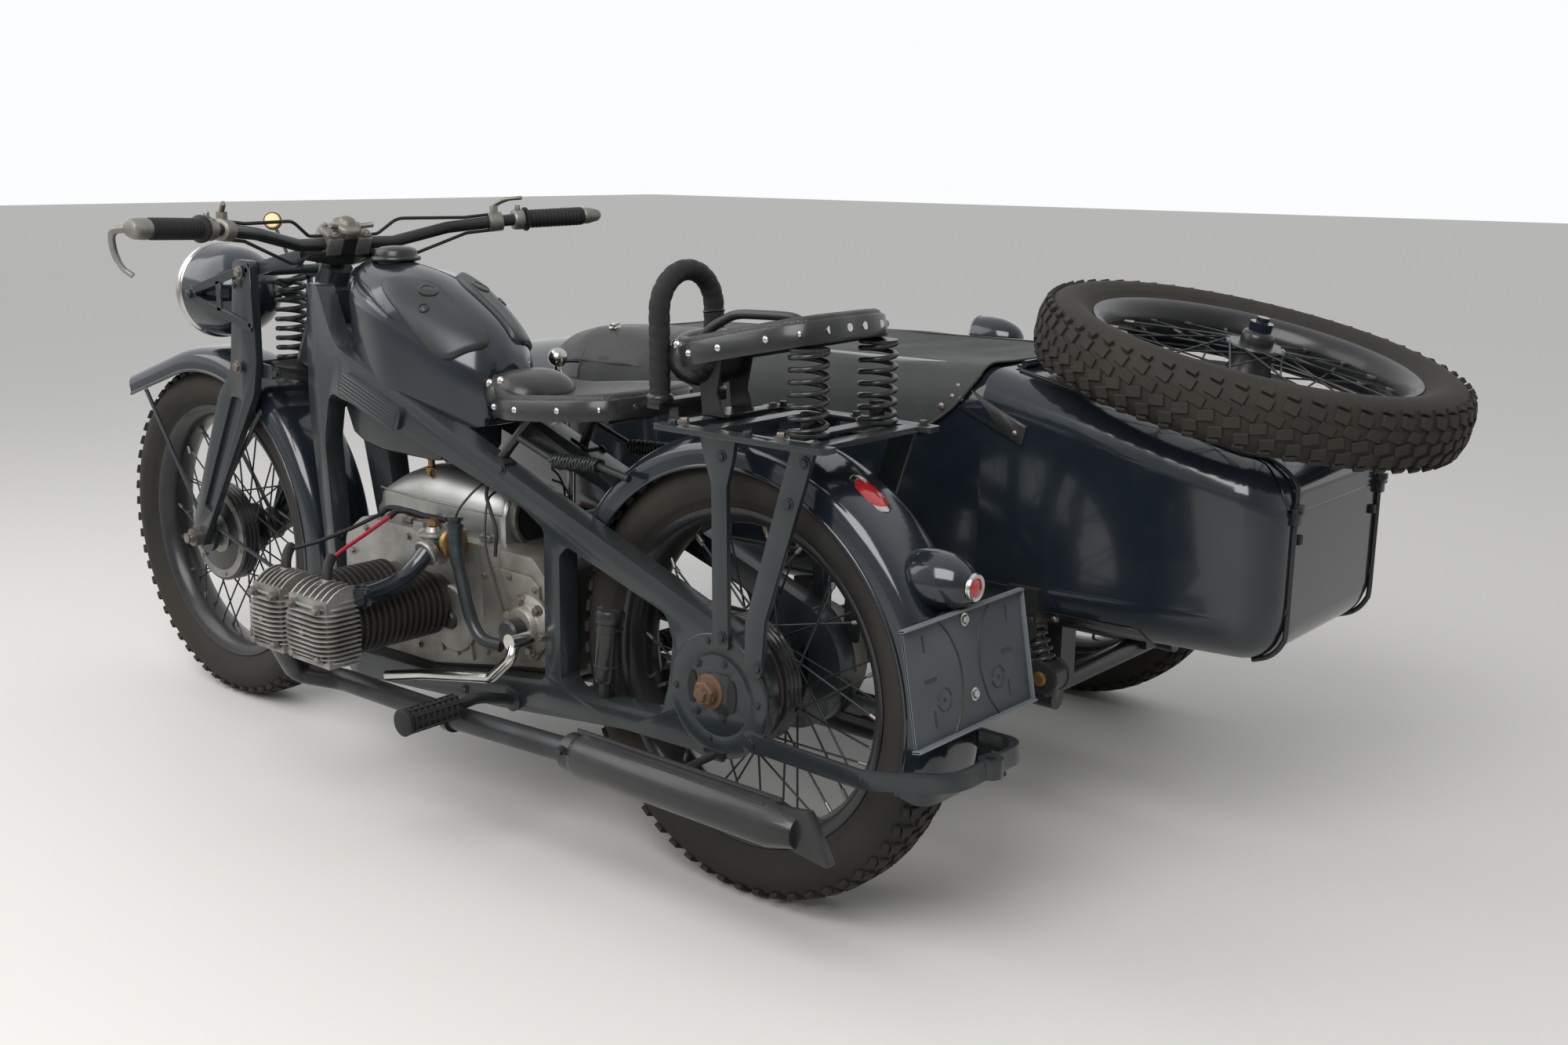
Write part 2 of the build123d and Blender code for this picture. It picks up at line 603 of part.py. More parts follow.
def pillion_springs():
    """Two upright coil springs and the cross frame that carries the pillion saddle."""
    low = RACK_Z + RACK_T
    parts = slab(26, 200, 8, (PILLION_SPRING_X, 0, low + 4 + SEAT))
    for y in (-PILLION_SPRING_Y, PILLION_SPRING_Y):
        height = saddle_under(PILLION_SPRING_X) - low
        parts += coil((PILLION_SPRING_X, y, low + 8), (PILLION_SPRING_X, y, low + 8 + height), 26, 4, 8)
    pivot = side_plate([(84, low + SEAT, 0), (84, 790, 10), (60, 820, 0), (40, 820, 0),
                        (58, low + SEAT, 0)], -30, 30)
    saddle = Pos(PILLION_FRONT, 0, PILLION_Z) * Rot(0, PILLION_TILT, 0) * slab(800, 300, 100,
                                                                               (0, 0, 50 - SEAT))
    return (parts + pivot) - saddle


def coil(start, end, radius, wire, turns):
    """A coil spring as a stack of rings on a core, between two points."""
    start, end = Vector(*start), Vector(*end)
    length = (end - start).length
    frame = Plane(origin=start, z_dir=end - start)
    body = Cylinder(radius - 2 * wire + 0.5, length, align=(Align.CENTER, Align.CENTER, Align.MIN))
    for k in range(turns):
        body += Pos(0, 0, length * (k + 0.5) / turns) * Torus(radius - wire, wire)
    return frame * body


def saddle_under(x):
    """Height of the pillion saddle's underside at x."""
    return PILLION_Z + (PILLION_FRONT - x) * math.tan(math.radians(PILLION_TILT))


def seat_form(points, height, place):
    """A saddle as a padded plate from its plan outline, set by a location."""
    body = flat_plate(points, 0, height)
    body = fillet(body.edges().group_by(Axis.Z)[-1], height * 0.35)
    return place * body


def pillion_saddle():
    """The rear saddle, tilted up to the rear. Rows: distance behind the nose, half width, corner."""
    half = [(0, 48, 30), (-95, 108, 60), (-270, 112, 50), (-308, 74, 50)]
    plan = half + [(x, -y, r) for x, y, r in reversed(half)]
    return seat_form(plan, 42, Pos(PILLION_FRONT, 0, PILLION_Z) * Rot(0, PILLION_TILT, 0))


def rider_saddle():
    """The front saddle. Rows: distance behind the nose, half width, corner."""
    half = [(0, 60, 24), (-60, 100, 50), (-130, 120, 60), (-290, 120, 50), (-335, 84, 50)]
    plan = half + [(x, -y, r) for x, y, r in reversed(half)]
    nose = side_plate([(553, 688, 6), (553, 764, 20), (512, 748, 20), (470, 722, 0), (470, 690, 0)], -42, 42)
    seat = seat_form(plan, 50, Pos(SADDLE_FRONT, 0, SADDLE_Z) * Rot(0, SADDLE_TILT, 0))
    return seat + (nose - tank_form(SEAT))


def saddle_frame():
    """The rocking frame under the rider's saddle with its level spring."""
    foot = side_plate([(448, beam_top(448) + SEAT, 0), (492, beam_top(492) + SEAT, 0),
                       (492, beam_top(492) + 9, 3),
                       (448, beam_top(448) + 9, 3)], 78, 102)
    slope = math.tan(math.radians(SADDLE_TILT))
    saddle = Pos(SADDLE_FRONT, 0, SADDLE_Z) * Rot(0, SADDLE_TILT, 0) * slab(1000, 300, 100, (0, 0, 50 - SEAT))
    front, rear = SADDLE_Z + (SADDLE_FRONT - 420) * slope - 2, SADDLE_Z + (SADDLE_FRONT - 250) * slope - 2
    rods = [bar((470, s * 88, beam_top(470) + 6), (420, s * 70, front), 8) for s in (-1, 1)]
    rods += [bar((420, -70, front), (420, 70, front), 8), bar((420, 0, front), (250, 0, rear), 8),
             bar((250, -70, rear), (250, 70, rear), 8)]
    return Part() + both(foot) + [rod - saddle for rod in rods]


def grab_handle():
    """A taped arch behind the rider on a bracket from the rack."""
    arch = tube([(ARCH_X, ARCH_Y, 744), (ARCH_X, ARCH_Y, 926), (ARCH_X, -ARCH_Y, 926),
                 (ARCH_X, -ARCH_Y, 744)], ARCH_R, 54)
    under = RACK_Z - SEAT
    base = slab(26, 2 * ARCH_Y + 30, 14, (ARCH_X, 0, 738)) + slab(100, 60, 6,
                                                                  (107, 0, under - 3)) + slab(20, 60, 30,
                                                                                              (ARCH_X, 0,
                                                                                               under + 12))
    return arch + base


def tyre_pump():
    """A hand pump clipped upright in the rear window of the frame."""
    body = bar((234, 92, 300), (222, 92, 412), 21) + bar((222.4, 92, 406), (221.4, 92, 420), 24)
    return body + bar((235, 92, 275.6), (235, 92, 304), 12)


def fork_blades():
    """The pressed blades of the girder fork with the pins and links that carry them."""
    (ux, uz), (lx, lz) = UPPER_PIN, LOWER_PIN
    shape = [(1150, 898, 14), (1212, 898, 14), (1244, 690, 60), (1292, 640, 60), (1432, 340, 14),
             (1396, 318, 14),
             (1168, 652, 60), (1154, 712, 60)]
    slot = side_plate([(1206, 640, 8), (1246, 640, 8), (1374, 408, 5), (1346, 400, 5)], BLADE_IN - 1,
                      BLADE_IN + BLADE_T + 1)
    blade = side_plate(shape, BLADE_IN, BLADE_IN + BLADE_T) - slot
    blade -= bar((WHEELBASE, BLADE_IN - 1, TYRE_R), (WHEELBASE, BLADE_IN + BLADE_T + 1, TYRE_R), AXLE_R)
    pins = [bar((x, -BLADE_IN - BLADE_T - 8, z), (x, BLADE_IN + BLADE_T + 8, z), PIN_R) for x,
            z in (UPPER_PIN, LOWER_PIN)]
    top, low = on_head(HEAD_TOP_Z + YOKE_RISE), on_head(HEAD_LOW_Z - YOKE_RISE)
    y_in, y_out = BLADE_IN - 2 - LINK_T, BLADE_IN - 2
    links = []
    for (px, pz), (hx, _, hz) in ((UPPER_PIN, top), (LOWER_PIN, low)):
        links.append(side_plate([(px + 14, pz + 12, 8), (px + 14, pz - 12, 8), (hx + 2, hz - 12, 8),
                                 (hx + 2, hz + 12, 8)], y_in, y_out))
    return Part() + both(blade) + pins + [p for link in links for p in both(link)]


def fork_stem():
    """The steering stem with its upper and lower yokes."""
    top, low = on_head(HEAD_TOP_Z + YOKE_RISE), on_head(HEAD_LOW_Z - YOKE_RISE)
    stem = bar(on_head(HEAD_TOP_Z + 24), on_head(HEAD_LOW_Z - 34), STEM_R)
    reach = BLADE_IN - 2 - LINK_T - SEAT
    half = [(-18, 20, 6), (5, reach, 0), (25, reach, 0)]
    plan = half + [(x, -y, r) for x, y, r in reversed(half)]
    yoke = flat_plate(plan, -YOKE_T / 2, YOKE_T / 2)
    return stem + [Pos(x, 0, z) * Rot(0, -RAKE, 0) * yoke for x, _, z in (top, low)]


def fork_spring():
    """The coil spring between the lower yoke and the upper pin of the blades."""
    low = (SPRING_X + 4, 0, LOWER_PIN[1] + PIN_R + SEAT)
    high = (SPRING_X - 1, 0, UPPER_PIN[1] - PIN_R - SEAT)
    return coil(low, high, SPRING_R + SPRING_WIRE, SPRING_WIRE, SPRING_COILS)


def front_axle():
    """The axle through the front wheel with spacers and nuts outside the blades."""
    end = BLADE_IN + BLADE_T + 26
    x = WHEELBASE
    rod = bar((x, -end, TYRE_R), (x, end, TYRE_R), AXLE_R)
    parts = []
    for s in (-1, 1):
        parts.append(bar((x, s * (HUB_HALF + 1), TYRE_R), (x, s * BLADE_IN, TYRE_R), 17))
        parts.append(bar((x, s * (BLADE_IN + BLADE_T), TYRE_R), (x, s * (BLADE_IN + BLADE_T + 13), TYRE_R),
                         18))
    return rod + parts


def front_mudguard():
    """The guard over the front wheel with its straight tip, stays and inner brackets."""
    guard = Pos(WHEELBASE, 0, TYRE_R) * mudguard(72, 196, 186, GUARD_GAP)
    stays = []
    for angle in (52, 190):
        r = TYRE_R + GUARD_GAP - GUARD_SIDE + 12
        x, z = WHEELBASE + r * math.cos(math.radians(angle)), TYRE_R + r * math.sin(math.radians(angle))
        stays.append(bar((WHEELBASE + (14 if angle < 90 else -14), BLADE_IN - 6, TYRE_R + 26),
                         (x, GUARD_HALF + 2, z), 5))
    ring = bar((WHEELBASE, BLADE_IN - 12, TYRE_R), (WHEELBASE, BLADE_IN - SEAT, TYRE_R), 34)
    ring -= bar((WHEELBASE, BLADE_IN - 13, TYRE_R), (WHEELBASE, BLADE_IN + 1, TYRE_R), 17 + SEAT)
    mounts = [m for s in (*stays, ring) for m in both(s)]
    return guard + mounts


def headlamp():
    """A round bowl with its rim, and the two ears that hold it on the blades."""
    outline = ((-92, 0), (-88, 26), (-68, 60), (-30, 84), (20, 90), (44, 92), (58, 90), (60, 84), (60, 0))
    points = [(LAMP_X + ahead, radius) for ahead, radius in outline]
    bowl = revolve(make_face(Polyline(*points, close=True)), axis=Axis.X)
    bowl = Pos(0, 0, LAMP_CENTRE_Z) * bowl
    ear = side_plate([(1184, LAMP_CENTRE_Z + 44, 8), (1184, LAMP_CENTRE_Z + 16, 8),
                      (LAMP_X - 6, LAMP_CENTRE_Z - 14, 8),
                      (LAMP_X - 6, LAMP_CENTRE_Z + 20, 8)], BLADE_IN + BLADE_T + SEAT, BLADE_IN + BLADE_T + 5)
    knob = bar((LAMP_X - 20, 80, LAMP_CENTRE_Z), (LAMP_X - 20, BLADE_IN + BLADE_T + 2, LAMP_CENTRE_Z), 10)
    return bowl + both(ear) + both(knob)


def headlamp_lens():
    """The domed glass in the lamp's rim."""
    front = LAMP_X + 60 + SEAT
    dome = revolve(make_face(Polyline((front, 0), (front, 80), (front + 8, 70), (front + 17, 44),
                                      (front + 22, 0), close=True)), axis=Axis.X)
    return Pos(0, 0, LAMP_CENTRE_Z) * dome


# Left half of the handlebar from its middle out to the grip end
BAR_POINTS = [(1003, 0, 932), (988, 100, 933), (958, 200, 957), (905, 310, 970), (855, 450, 976)]


def handlebar():
    """The bar with its clamp on the upper yoke."""
    right = [(x, -y, z) for x, y, z in BAR_POINTS]
    path = [*reversed(BAR_POINTS), *right[1:]]
    x, y, z = on_head(HEAD_TOP_Z + YOKE_RISE)
    clamp = Pos(x, y, z) * Rot(0, -RAKE, 0) * slab(44, 70, 30, (0, 0, YOKE_T / 2 + SEAT + 15))
    flat = Pos(x, y, z) * Rot(0, -RAKE, 0) * slab(80, 240, YOKE_T + 2 * SEAT, (0, 0, 0))
    return tube(path, BAR_R, 45) + clamp - flat


def bar_sleeve(first, start, length, radius):
    """A sleeve on the bar's straight after point number first, from a distance along it."""
    a, b = Vector(*BAR_POINTS[first]), Vector(*BAR_POINTS[first + 1])
    run = (b - a).normalized()
    low, high = a + run * start, a + run * (start + length)
    return bar(tuple(low), tuple(high), radius) - bar(tuple(low - run), tuple(high + run), BAR_R + SEAT)


def grips():
    """Rubber grips with a swelling at the inner end."""
    return both(bar_sleeve(3, 28, GRIP_LENGTH - 20, GRIP_R) + bar_sleeve(3, 28, 6, GRIP_R + 5))


def hand_levers():
    """The inverted lever housings at the bar ends and the twist drums inboard of the grips."""
    a, b = Vector(*BAR_POINTS[3]), Vector(*BAR_POINTS[4])
    run = (b - a).normalized()
    housing = bar(tuple(b + run * SEAT), tuple(b + run * 36), 15)
    lever = tube([tuple(b + run * 26), (893, 484, 972), (918, 472, 935), (905, 452, 903)], 5, [14, 14])
    cap = mirror(bar(tuple(b + run * SEAT), tuple(b + run * 34), 13), about=Plane.XZ)
    drum, perch = bar_sleeve(3, 5, 22, 17), bar_sleeve(2, 80, 26, PERCH_R)
    return [housing + lever, cap, *both(drum), *both(perch)]


def bar_cables():
    """Two sheathed cables a side, above and below the bar, from the perch to the clamp."""
    a, b = Vector(*BAR_POINTS[2]), Vector(*BAR_POINTS[3])
    run = (b - a).normalized()
    up = (Vector(0, 0, 1) - run * run.Z).normalized()
    x, _, z = on_head(HEAD_TOP_Z + YOKE_RISE)
    cables = []
    # one row a cable: side of the bar, height over the bar at its bend, place on the clamp ahead and up
    for side, lift, ahead, rise in ((1, 42, -15.2, 34.3), (-1, -34, -23.3, 3.9)):
        start = a + run * (80 - SEAT) + up * side * (PERCH_R - CABLE_R - 0.5)
        bend = (BAR_POINTS[1][0], BAR_POINTS[1][1] + 10, BAR_POINTS[1][2] + lift)
        path = [tuple(start), tuple(start - run * 45), bend, (x + ahead, 72, z + rise),
                (x + ahead, 35 + SEAT, z + rise)]
        cables += both(tube(path, CABLE_R, [30, 40, 18]))
    return cables


def engine_cable():
    """The control cable from the left carburettor body up to the frame's beam."""
    x, y = 470, CASE_HALF + 17
    foot = (506, 88, 551 + (506 - 400) * 0.28526 - SEAT)
    return tube([(x, y, 462 + SEAT), (x - 6, y, 505), (foot[0] + 8, foot[1], foot[2] - 30), foot], CABLE_R,
                [22, 14])


def plug_lead(x):
    """The left spark lead from the top cover to its cap on a head's plug."""
    end = Vector(x + 12, HEAD_OUT - HEAD_THICK + 2, HEAD_Z_HIGH + 34)
    along = Vector(0, -18, 40).normalized()
    cap = bar(tuple(end + along * SEAT), tuple(end + along * 34), 11)
    inside = end + along * 28
    lead = tube([tuple(inside), (x + 22, 230, inside.Z + 12), (x + 38, 110, 496), (x + 40, 50, 490)], 3.5,
                [40, 40])
    return cap + (lead - top_cover())


# Stations of the sidecar body: x, half width, low, high, low corner, high corner
SIDE_ROWS = [(-588, 186, 402, 622, 60, 50), (-545, 236, 358, 664, 80, 60), (-100, 258, 345, 764, 90, 60),
             (480, 258, 330, 758, 90, 90), (900, 226, 332, 738, 90, 90), (1200, 150, 360, 694, 80, 80),
             (1380, 74, 410, 612, 60, 60), (1430, 30, 446, 560, 24, 24)]


def side_form(extra=0.0):
    """The closed outer form of the sidecar body, grown by extra."""
    faces = []
    for x, half, low, high, r_low, r_high in SIDE_ROWS:
        w, low, high = half + extra, low - extra, high + extra
        if x == SIDE_ROWS[0][0]:
            x -= extra
        if x == SIDE_ROWS[-1][0]:
            x += extra
        corners = [(-w, low, r_low + extra), (w, low, r_low + extra), (w, high, r_high + extra),
                   (-w, high, r_high + extra)]
        faces.append(Plane.YZ.offset(x) * Pos(SIDE_Y, 0) * outline(corners))
    return loft(faces, ruled=True)


def side_height(x, column):
    """Height of the body's underside (column 2) or top (column 3) at x, between its stations."""
    for a, b in zip(SIDE_ROWS, SIDE_ROWS[1:]):
        if a[0] <= x <= b[0]:
            return a[column] + (b[column] - a[column]) * (x - a[0]) / (b[0] - a[0])
    return SIDE_ROWS[-1][column]


def lid_area(grow):
    """The block that cuts the boot lid out of the body's skin."""
    half = LID_HALF + grow
    return side_plate([(LID_FRONT + grow, 900, 0), (LID_FRONT + grow, LID_LIP_Z - grow, 0),
                       (-800, LID_LIP_Z - grow, 0),
                       (-800, 900, 0)], SIDE_Y - half, SIDE_Y + half)


def hinge_axis():
    """Place of the boot lid's hinge pin."""
    x = LID_FRONT + LID_GAP / 2
    return x, side_height(x, 3) + HINGE_R + 0.6


def knuckles(spans, leaf):
    """Hinge barrels about the pin, each with a leaf to one side, from rows of (low y, high y)."""
    x, z = hinge_axis()
    parts = []
    for low, high in spans:
        barrel_part = bar((x, low, z), (x, high, z), HINGE_R)
        parts.append(barrel_part + Pos(x, (low + high) / 2, z) * Rot(0, -LID_SLOPE, 0) * Pos(leaf / 2, 0,
                                                                                             -HINGE_R + 0.5)
                     * Box(abs(leaf), high - low, 3))
    return parts


def sidecar_body():
    """The hollow steel body as tail, tub and nose, with its bulkhead, lid ledge and hinge."""
    skin, inner = side_form() - side_form(-SHELL), side_form(-SHELL)
    cockpit = flat_plate([(-60, SIDE_Y - 190, 60), (-60, SIDE_Y + 190, 60), (620, SIDE_Y + 170, 140),
                          (620, SIDE_Y - 170, 140)], 640, 900)
    bulkhead = slab(SHELL, 700, 600, (TAIL_FRONT - SHELL / 2, SIDE_Y, 600)) & inner
    ledge = (inner - side_form(-SHELL - LEDGE)) & (lid_area(14) - lid_area(-12))
    body = skin - cockpit - lid_area(LID_GAP) + bulkhead + ledge
    spans = [(SIDE_Y - 160, SIDE_Y - 130), (SIDE_Y - 95, SIDE_Y - 65), (SIDE_Y + 65, SIDE_Y + 95),
             (SIDE_Y + 130, SIDE_Y + 160)]
    x, z = hinge_axis()
    pins = [bar((x, SIDE_Y + s * 160, z), (x, SIDE_Y + s * 65, z), HINGE_PIN_R) for s in (-1, 1)]
    ends = (-800, TAIL_FRONT, NOSE_REAR, 1600)
    lots = [body & slab(b - a, 900, 1200, ((a + b) / 2, SIDE_Y, 600)) for a, b in zip(ends, ends[1:])]
    lots[0] += knuckles(spans, BODY_LEAF) + pins
    return lots


def boot_lid():
    """The lid with its hinge barrels, its latch lip and the spindle for the spare wheel."""
    lid = (side_form() - side_form(-SHELL + COVER_GAP)) & lid_area(0)
    spans = [(SIDE_Y - 128, SIDE_Y - 97), (SIDE_Y + 97, SIDE_Y + 128)]
    x, z = hinge_axis()
    lid += knuckles(spans, -LID_LEAF)
    lid -= bar((x, SIDE_Y - 200, z), (x, SIDE_Y + 200, z), HINGE_PIN_R + RUN)
    post = bar((0, 0, -2), (0, 0, SPARE_RISE - HUB_HALF - SEAT), 44)
    post += bar((0, 0, 0), (0, 0, SPARE_RISE + HUB_HALF + 22), AXLE_R)
    nut = bar((0, 0, SPARE_RISE + HUB_HALF + SEAT), (0, 0, SPARE_RISE + HUB_HALF + 14), 18)
    return lid + lid_place() * (post + nut)


def lid_place():
    """The place on the lid's skin under the spare wheel, its Z along the wheel's axis."""
    return Pos(SPARE_X, SIDE_Y, side_height(SPARE_X, 3)) * Rot(0, -LID_SLOPE, 0)


def tonneau_cover():
    """The cloth cover over the cockpit as a closed shell just outside the body, with its front roll."""
    area = side_plate([(COVER_REAR, side_height(COVER_REAR, 3) - COVER_DROP, 0), (COVER_REAR, 900, 0),
                       (COVER_FRONT, 900, 0),
                       (COVER_FRONT, side_height(COVER_FRONT, 3) - COVER_DROP,
                        0)], SIDE_Y - 400, SIDE_Y + 400)
    shell = (side_form(COVER_GAP + COVER_T) - side_form(COVER_GAP)) & area
    return shell


def sidecar_chassis():
    """The tubular chassis under the body, its rubber blocks, and the struts to the machine."""
    left, right = CHASSIS_Y
    z = CHASSIS_Z
    loop = tube([(LOOP_REAR, left, z), (1060, left, z), (1060, right, z), (LOOP_REAR, right, z)], CHASSIS_R,
                110)
    frame = loop
    for x in CHASSIS_CROSS:
        frame += bar((x, left - 5, z), (x, right + 5, z), CHASSIS_R - 1)
    frame += bar((CHASSIS_CROSS[1], right, z), (CHASSIS_CROSS[1], -STUB_Y - ARM_T, z), CHASSIS_R)
    blocks = []
    for x in CHASSIS_CROSS:
        top = side_height(x, 2) - SEAT
        for s in (-1, 1):
            block = slab(54, 46, top - z + 20, (x, SIDE_Y + s * 150, (top + z) / 2 + 10))
            blocks.append(block - side_form(SEAT))
    x, y, roller_z = ROLLER
    mount = [bar((LOOP_REAR + 14, left, z), (x, y - 10, roller_z), 14),
             bar((x, y - 22, roller_z), (x, y + 22, roller_z), 26),
             coil((x + 8, y, roller_z + 20), (x + 40, y, roller_z + 92), 21, 4, 6),
             slab(56, 44, 60, (x + 46, y - 8, roller_z + 110)) - side_form(SEAT)]
    struts = [bar((LOW_STRUT_X, -60, LOW_STRUT_Z), (LOW_STRUT_X, left, z), STRUT_R),
              tube([(260, -FRAME_OUT, 250), (260, -150, 178), (260, -262, 178), (260, left, z)], STRUT_R,
                   [24, 60]),
              bar((960, -60, 640), (900, left, z), STRUT_R),
              bar((218, -80, 530), (180, left, z), STRUT_R)]
    pads = [bar((x, -60, pad_z), (x, -outer, pad_z), r) for x, outer, pad_z, r in
            ((LOW_STRUT_X, 106, LOW_STRUT_Z, 22), (260, FRAME_OUT + 10, 250, 17),
             (216, FRAME_OUT + 10, 500, 24))]
    guard_space = slab(1000, 2 * (GUARD_HALF + SEAT), 900, (SIDE_LEAD, -SIDE_TRACK, TYRE_R))
    stays = []
    for degrees in (25, 150):
        r = TYRE_R + GUARD_GAP - GUARD_SIDE + 12
        x = SIDE_LEAD + r * math.cos(math.radians(degrees))
        stay_z = TYRE_R + r * math.sin(math.radians(degrees))
        stays.append(bar((x, right, z), (x, -SIDE_TRACK + GUARD_HALF - 20, stay_z), 9) - guard_space)
    return frame + blocks + mount + [strut - outer_space(SEAT) for strut in struts + pads] + stays


def side_axle():
    """The swinging arm of the sidecar wheel with its stub axle and nut."""
    y_out, y_in = -STUB_Y - ARM_T, -STUB_Y
    arm = side_plate([(352, 212, 18), (352, 262, 18), (156, 366, 20), (108, 366, 20), (108, 318, 20)],
                     y_out, y_in)
    arm -= bar((330, y_in + 1, CHASSIS_Z), (330, y_out - 1, CHASSIS_Z), CHASSIS_R + SEAT)
    x, z = SIDE_LEAD, TYRE_R
    stub = bar((x, y_out, z), (x, -SIDE_TRACK - HUB_HALF - 24, z), AXLE_R)
    spacer = bar((x, y_out, z), (x, -SIDE_TRACK + HUB_HALF + 1, z), 17)
    nut = bar((x, -SIDE_TRACK - HUB_HALF - 1, z), (x, -SIDE_TRACK - HUB_HALF - 15, z), 18)
    return arm + stub + spacer + nut


def side_mudguard():
    """The guard over the sidecar wheel."""
    return Pos(SIDE_LEAD, -SIDE_TRACK, TYRE_R) * mudguard(20, 172, 0)


def side_lamp():
    """The position lamp on the sidecar's mudguard."""
    r = SIDE_LAMP_R
    bullet = revolve(make_face(Polyline((-58, 0), (-52, 14), (-34, 30), (-8, r - 3), (20, r), (46, r),
                                        (52, r - 6), (52, 0), close=True)), axis=Axis.X)
    stalk = bar((0, 0, -r - 40), (0, 0, 0), 9) + bar((0, 0, -r - 32), (0, 0, -r + 4), 16)
    lamp = Pos(SIDE_LAMP_X, -SIDE_TRACK, SIDE_LAMP_Z) * (bullet + stalk)
    return lamp - bar((SIDE_LEAD, -SIDE_TRACK - 70, TYRE_R), (SIDE_LEAD, -SIDE_TRACK + 70, TYRE_R),
                      TYRE_R + GUARD_GAP + SEAT)


def main():
    """Build every piece and write it."""
    os.makedirs("parts", exist_ok=True)
    left = frame_side()
    save("frame_sides", *both(left))
    save("cross_tubes", *cross_tubes())
    save("steering_head", steering_head())
    save("fuel_tank", fuel_tank())
    save("knee_pads", *knee_pads())
    save("filler_cap", bar((846, 0, 918 + SEAT), (846, 0, 932), 38))
    save("engine_case", engine_case())
    save("top_cover", top_cover())
    save("barrels", *[b for x, _ in CYLINDERS for b in both(barrel(x))])
    save("cylinder_heads", *[h for x, half in CYLINDERS for h in both(cylinder_head(x, half))])
    save("intake_pipes", *intake_pipes())
    save("exhaust_pipes", *both(exhaust_pipe()))
    save("silencers", *both(silencer()))
    save("foot_controls", *foot_controls())
    save("footrests", *footrests())
    save("final_drive", final_drive())
    save("rear_axle", rear_axle())
    save("rear_mudguard", rear_mudguard())
    pod, lens = tail_lamp()
    save("tail_lamp", pod)
    save("tail_lens", lens)
    save("number_plate", number_plate())
    save("rear_bar", rear_bar())
    save("carrier", carrier())
    save("pillion_springs", pillion_springs())
    save("pillion_saddle", pillion_saddle())
    save("saddle_frame", saddle_frame())
    save("rider_saddle", rider_saddle())
    save("grab_handle", grab_handle())
    save("tyre_pump", tyre_pump())
    save("fork_blades", fork_blades())
    save("fork_stem", fork_stem())
    save("fork_spring", fork_spring())
    save("front_axle", front_axle())
    save("front_mudguard", front_mudguard())
    save("headlamp", headlamp())
    save("headlamp_lens", headlamp_lens())
    save("handlebar", handlebar())
    save("grips", *grips())
    save("hand_levers", *hand_levers())
    save("bar_cables", *bar_cables())
    save("engine_cable", engine_cable())
    save("plug_leads", *[lead for x, _ in CYLINDERS for lead in both(plug_lead(x))])
    for name, piece in zip(("sidecar_tail", "sidecar_tub", "sidecar_nose"), sidecar_body()):
        save(name, piece)
    save("boot_lid", boot_lid())
    save("tonneau_cover", tonneau_cover())
    save("sidecar_chassis", sidecar_chassis())
    save("side_axle", side_axle())
    save("side_mudguard", side_mudguard())
    save("side_lamp", side_lamp())
    rim, tyre = wheel_rim(), wheel_tyre()
    wheels = [("rear", Pos(0, 0, TYRE_R)), ("front", Pos(WHEELBASE, 0, TYRE_R)),
              ("side", Pos(SIDE_LEAD, -SIDE_TRACK, TYRE_R)),
              ("spare", lid_place() * Pos(0, 0, SPARE_RISE) * Rot(-90, 0, 0))]
    for name, place in wheels:
        save(f"{name}_wheel_rim", place * rim)
        save(f"{name}_tyre", place * tyre)


if __name__ == "__main__":
    main()
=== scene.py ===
"""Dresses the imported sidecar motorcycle: studio, finishes and the detailed pieces."""
from __future__ import annotations

import itertools
import json
import logging
import math
from dataclasses import dataclass
from enum import Enum
from typing import Sequence

import bmesh
import bpy
from mathutils import Euler, Matrix, Vector


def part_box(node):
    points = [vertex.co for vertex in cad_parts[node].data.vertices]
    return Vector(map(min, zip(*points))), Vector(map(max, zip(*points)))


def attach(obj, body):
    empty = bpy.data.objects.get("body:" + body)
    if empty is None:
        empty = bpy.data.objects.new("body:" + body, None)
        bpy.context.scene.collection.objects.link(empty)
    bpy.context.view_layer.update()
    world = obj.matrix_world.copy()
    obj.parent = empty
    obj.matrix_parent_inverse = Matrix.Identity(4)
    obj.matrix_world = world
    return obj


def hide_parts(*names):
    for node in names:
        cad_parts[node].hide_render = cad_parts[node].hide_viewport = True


LOG = logging.getLogger("sidecar_motorcycle")
MM = 0.001
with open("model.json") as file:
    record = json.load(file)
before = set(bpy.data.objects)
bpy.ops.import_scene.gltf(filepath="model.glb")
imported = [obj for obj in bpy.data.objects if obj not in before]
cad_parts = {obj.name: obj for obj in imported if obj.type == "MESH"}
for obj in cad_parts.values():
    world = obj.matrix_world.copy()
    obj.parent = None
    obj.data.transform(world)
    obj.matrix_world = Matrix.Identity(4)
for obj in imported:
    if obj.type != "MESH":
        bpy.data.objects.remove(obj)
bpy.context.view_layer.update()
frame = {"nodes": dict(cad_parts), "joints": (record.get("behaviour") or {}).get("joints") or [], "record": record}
JOINTS = {joint["name"]: joint for joint in frame["joints"]}
REAR_AXLE = Vector(JOINTS["rear_wheel_spin"]["pos_m"])


def at(x: float, y: float, z: float) -> Vector:
    """A place in the row frame, in metres.

    Args:
        x: millimetres ahead of the rear axle.
        y: millimetres to the rider's left of the machine's middle.
        z: millimetres above the ground.

    Returns:
        The place in metres.
    """
    return Vector((REAR_AXLE.x + x * MM, REAR_AXLE.y + y * MM, z * MM))


class Bump(Enum):
    """The relief that a finish has close up."""

    NONE = "none"
    CAST = "cast"
    GRAIN = "grain"
    WEAVE = "weave"
    RUBBER = "rubber"


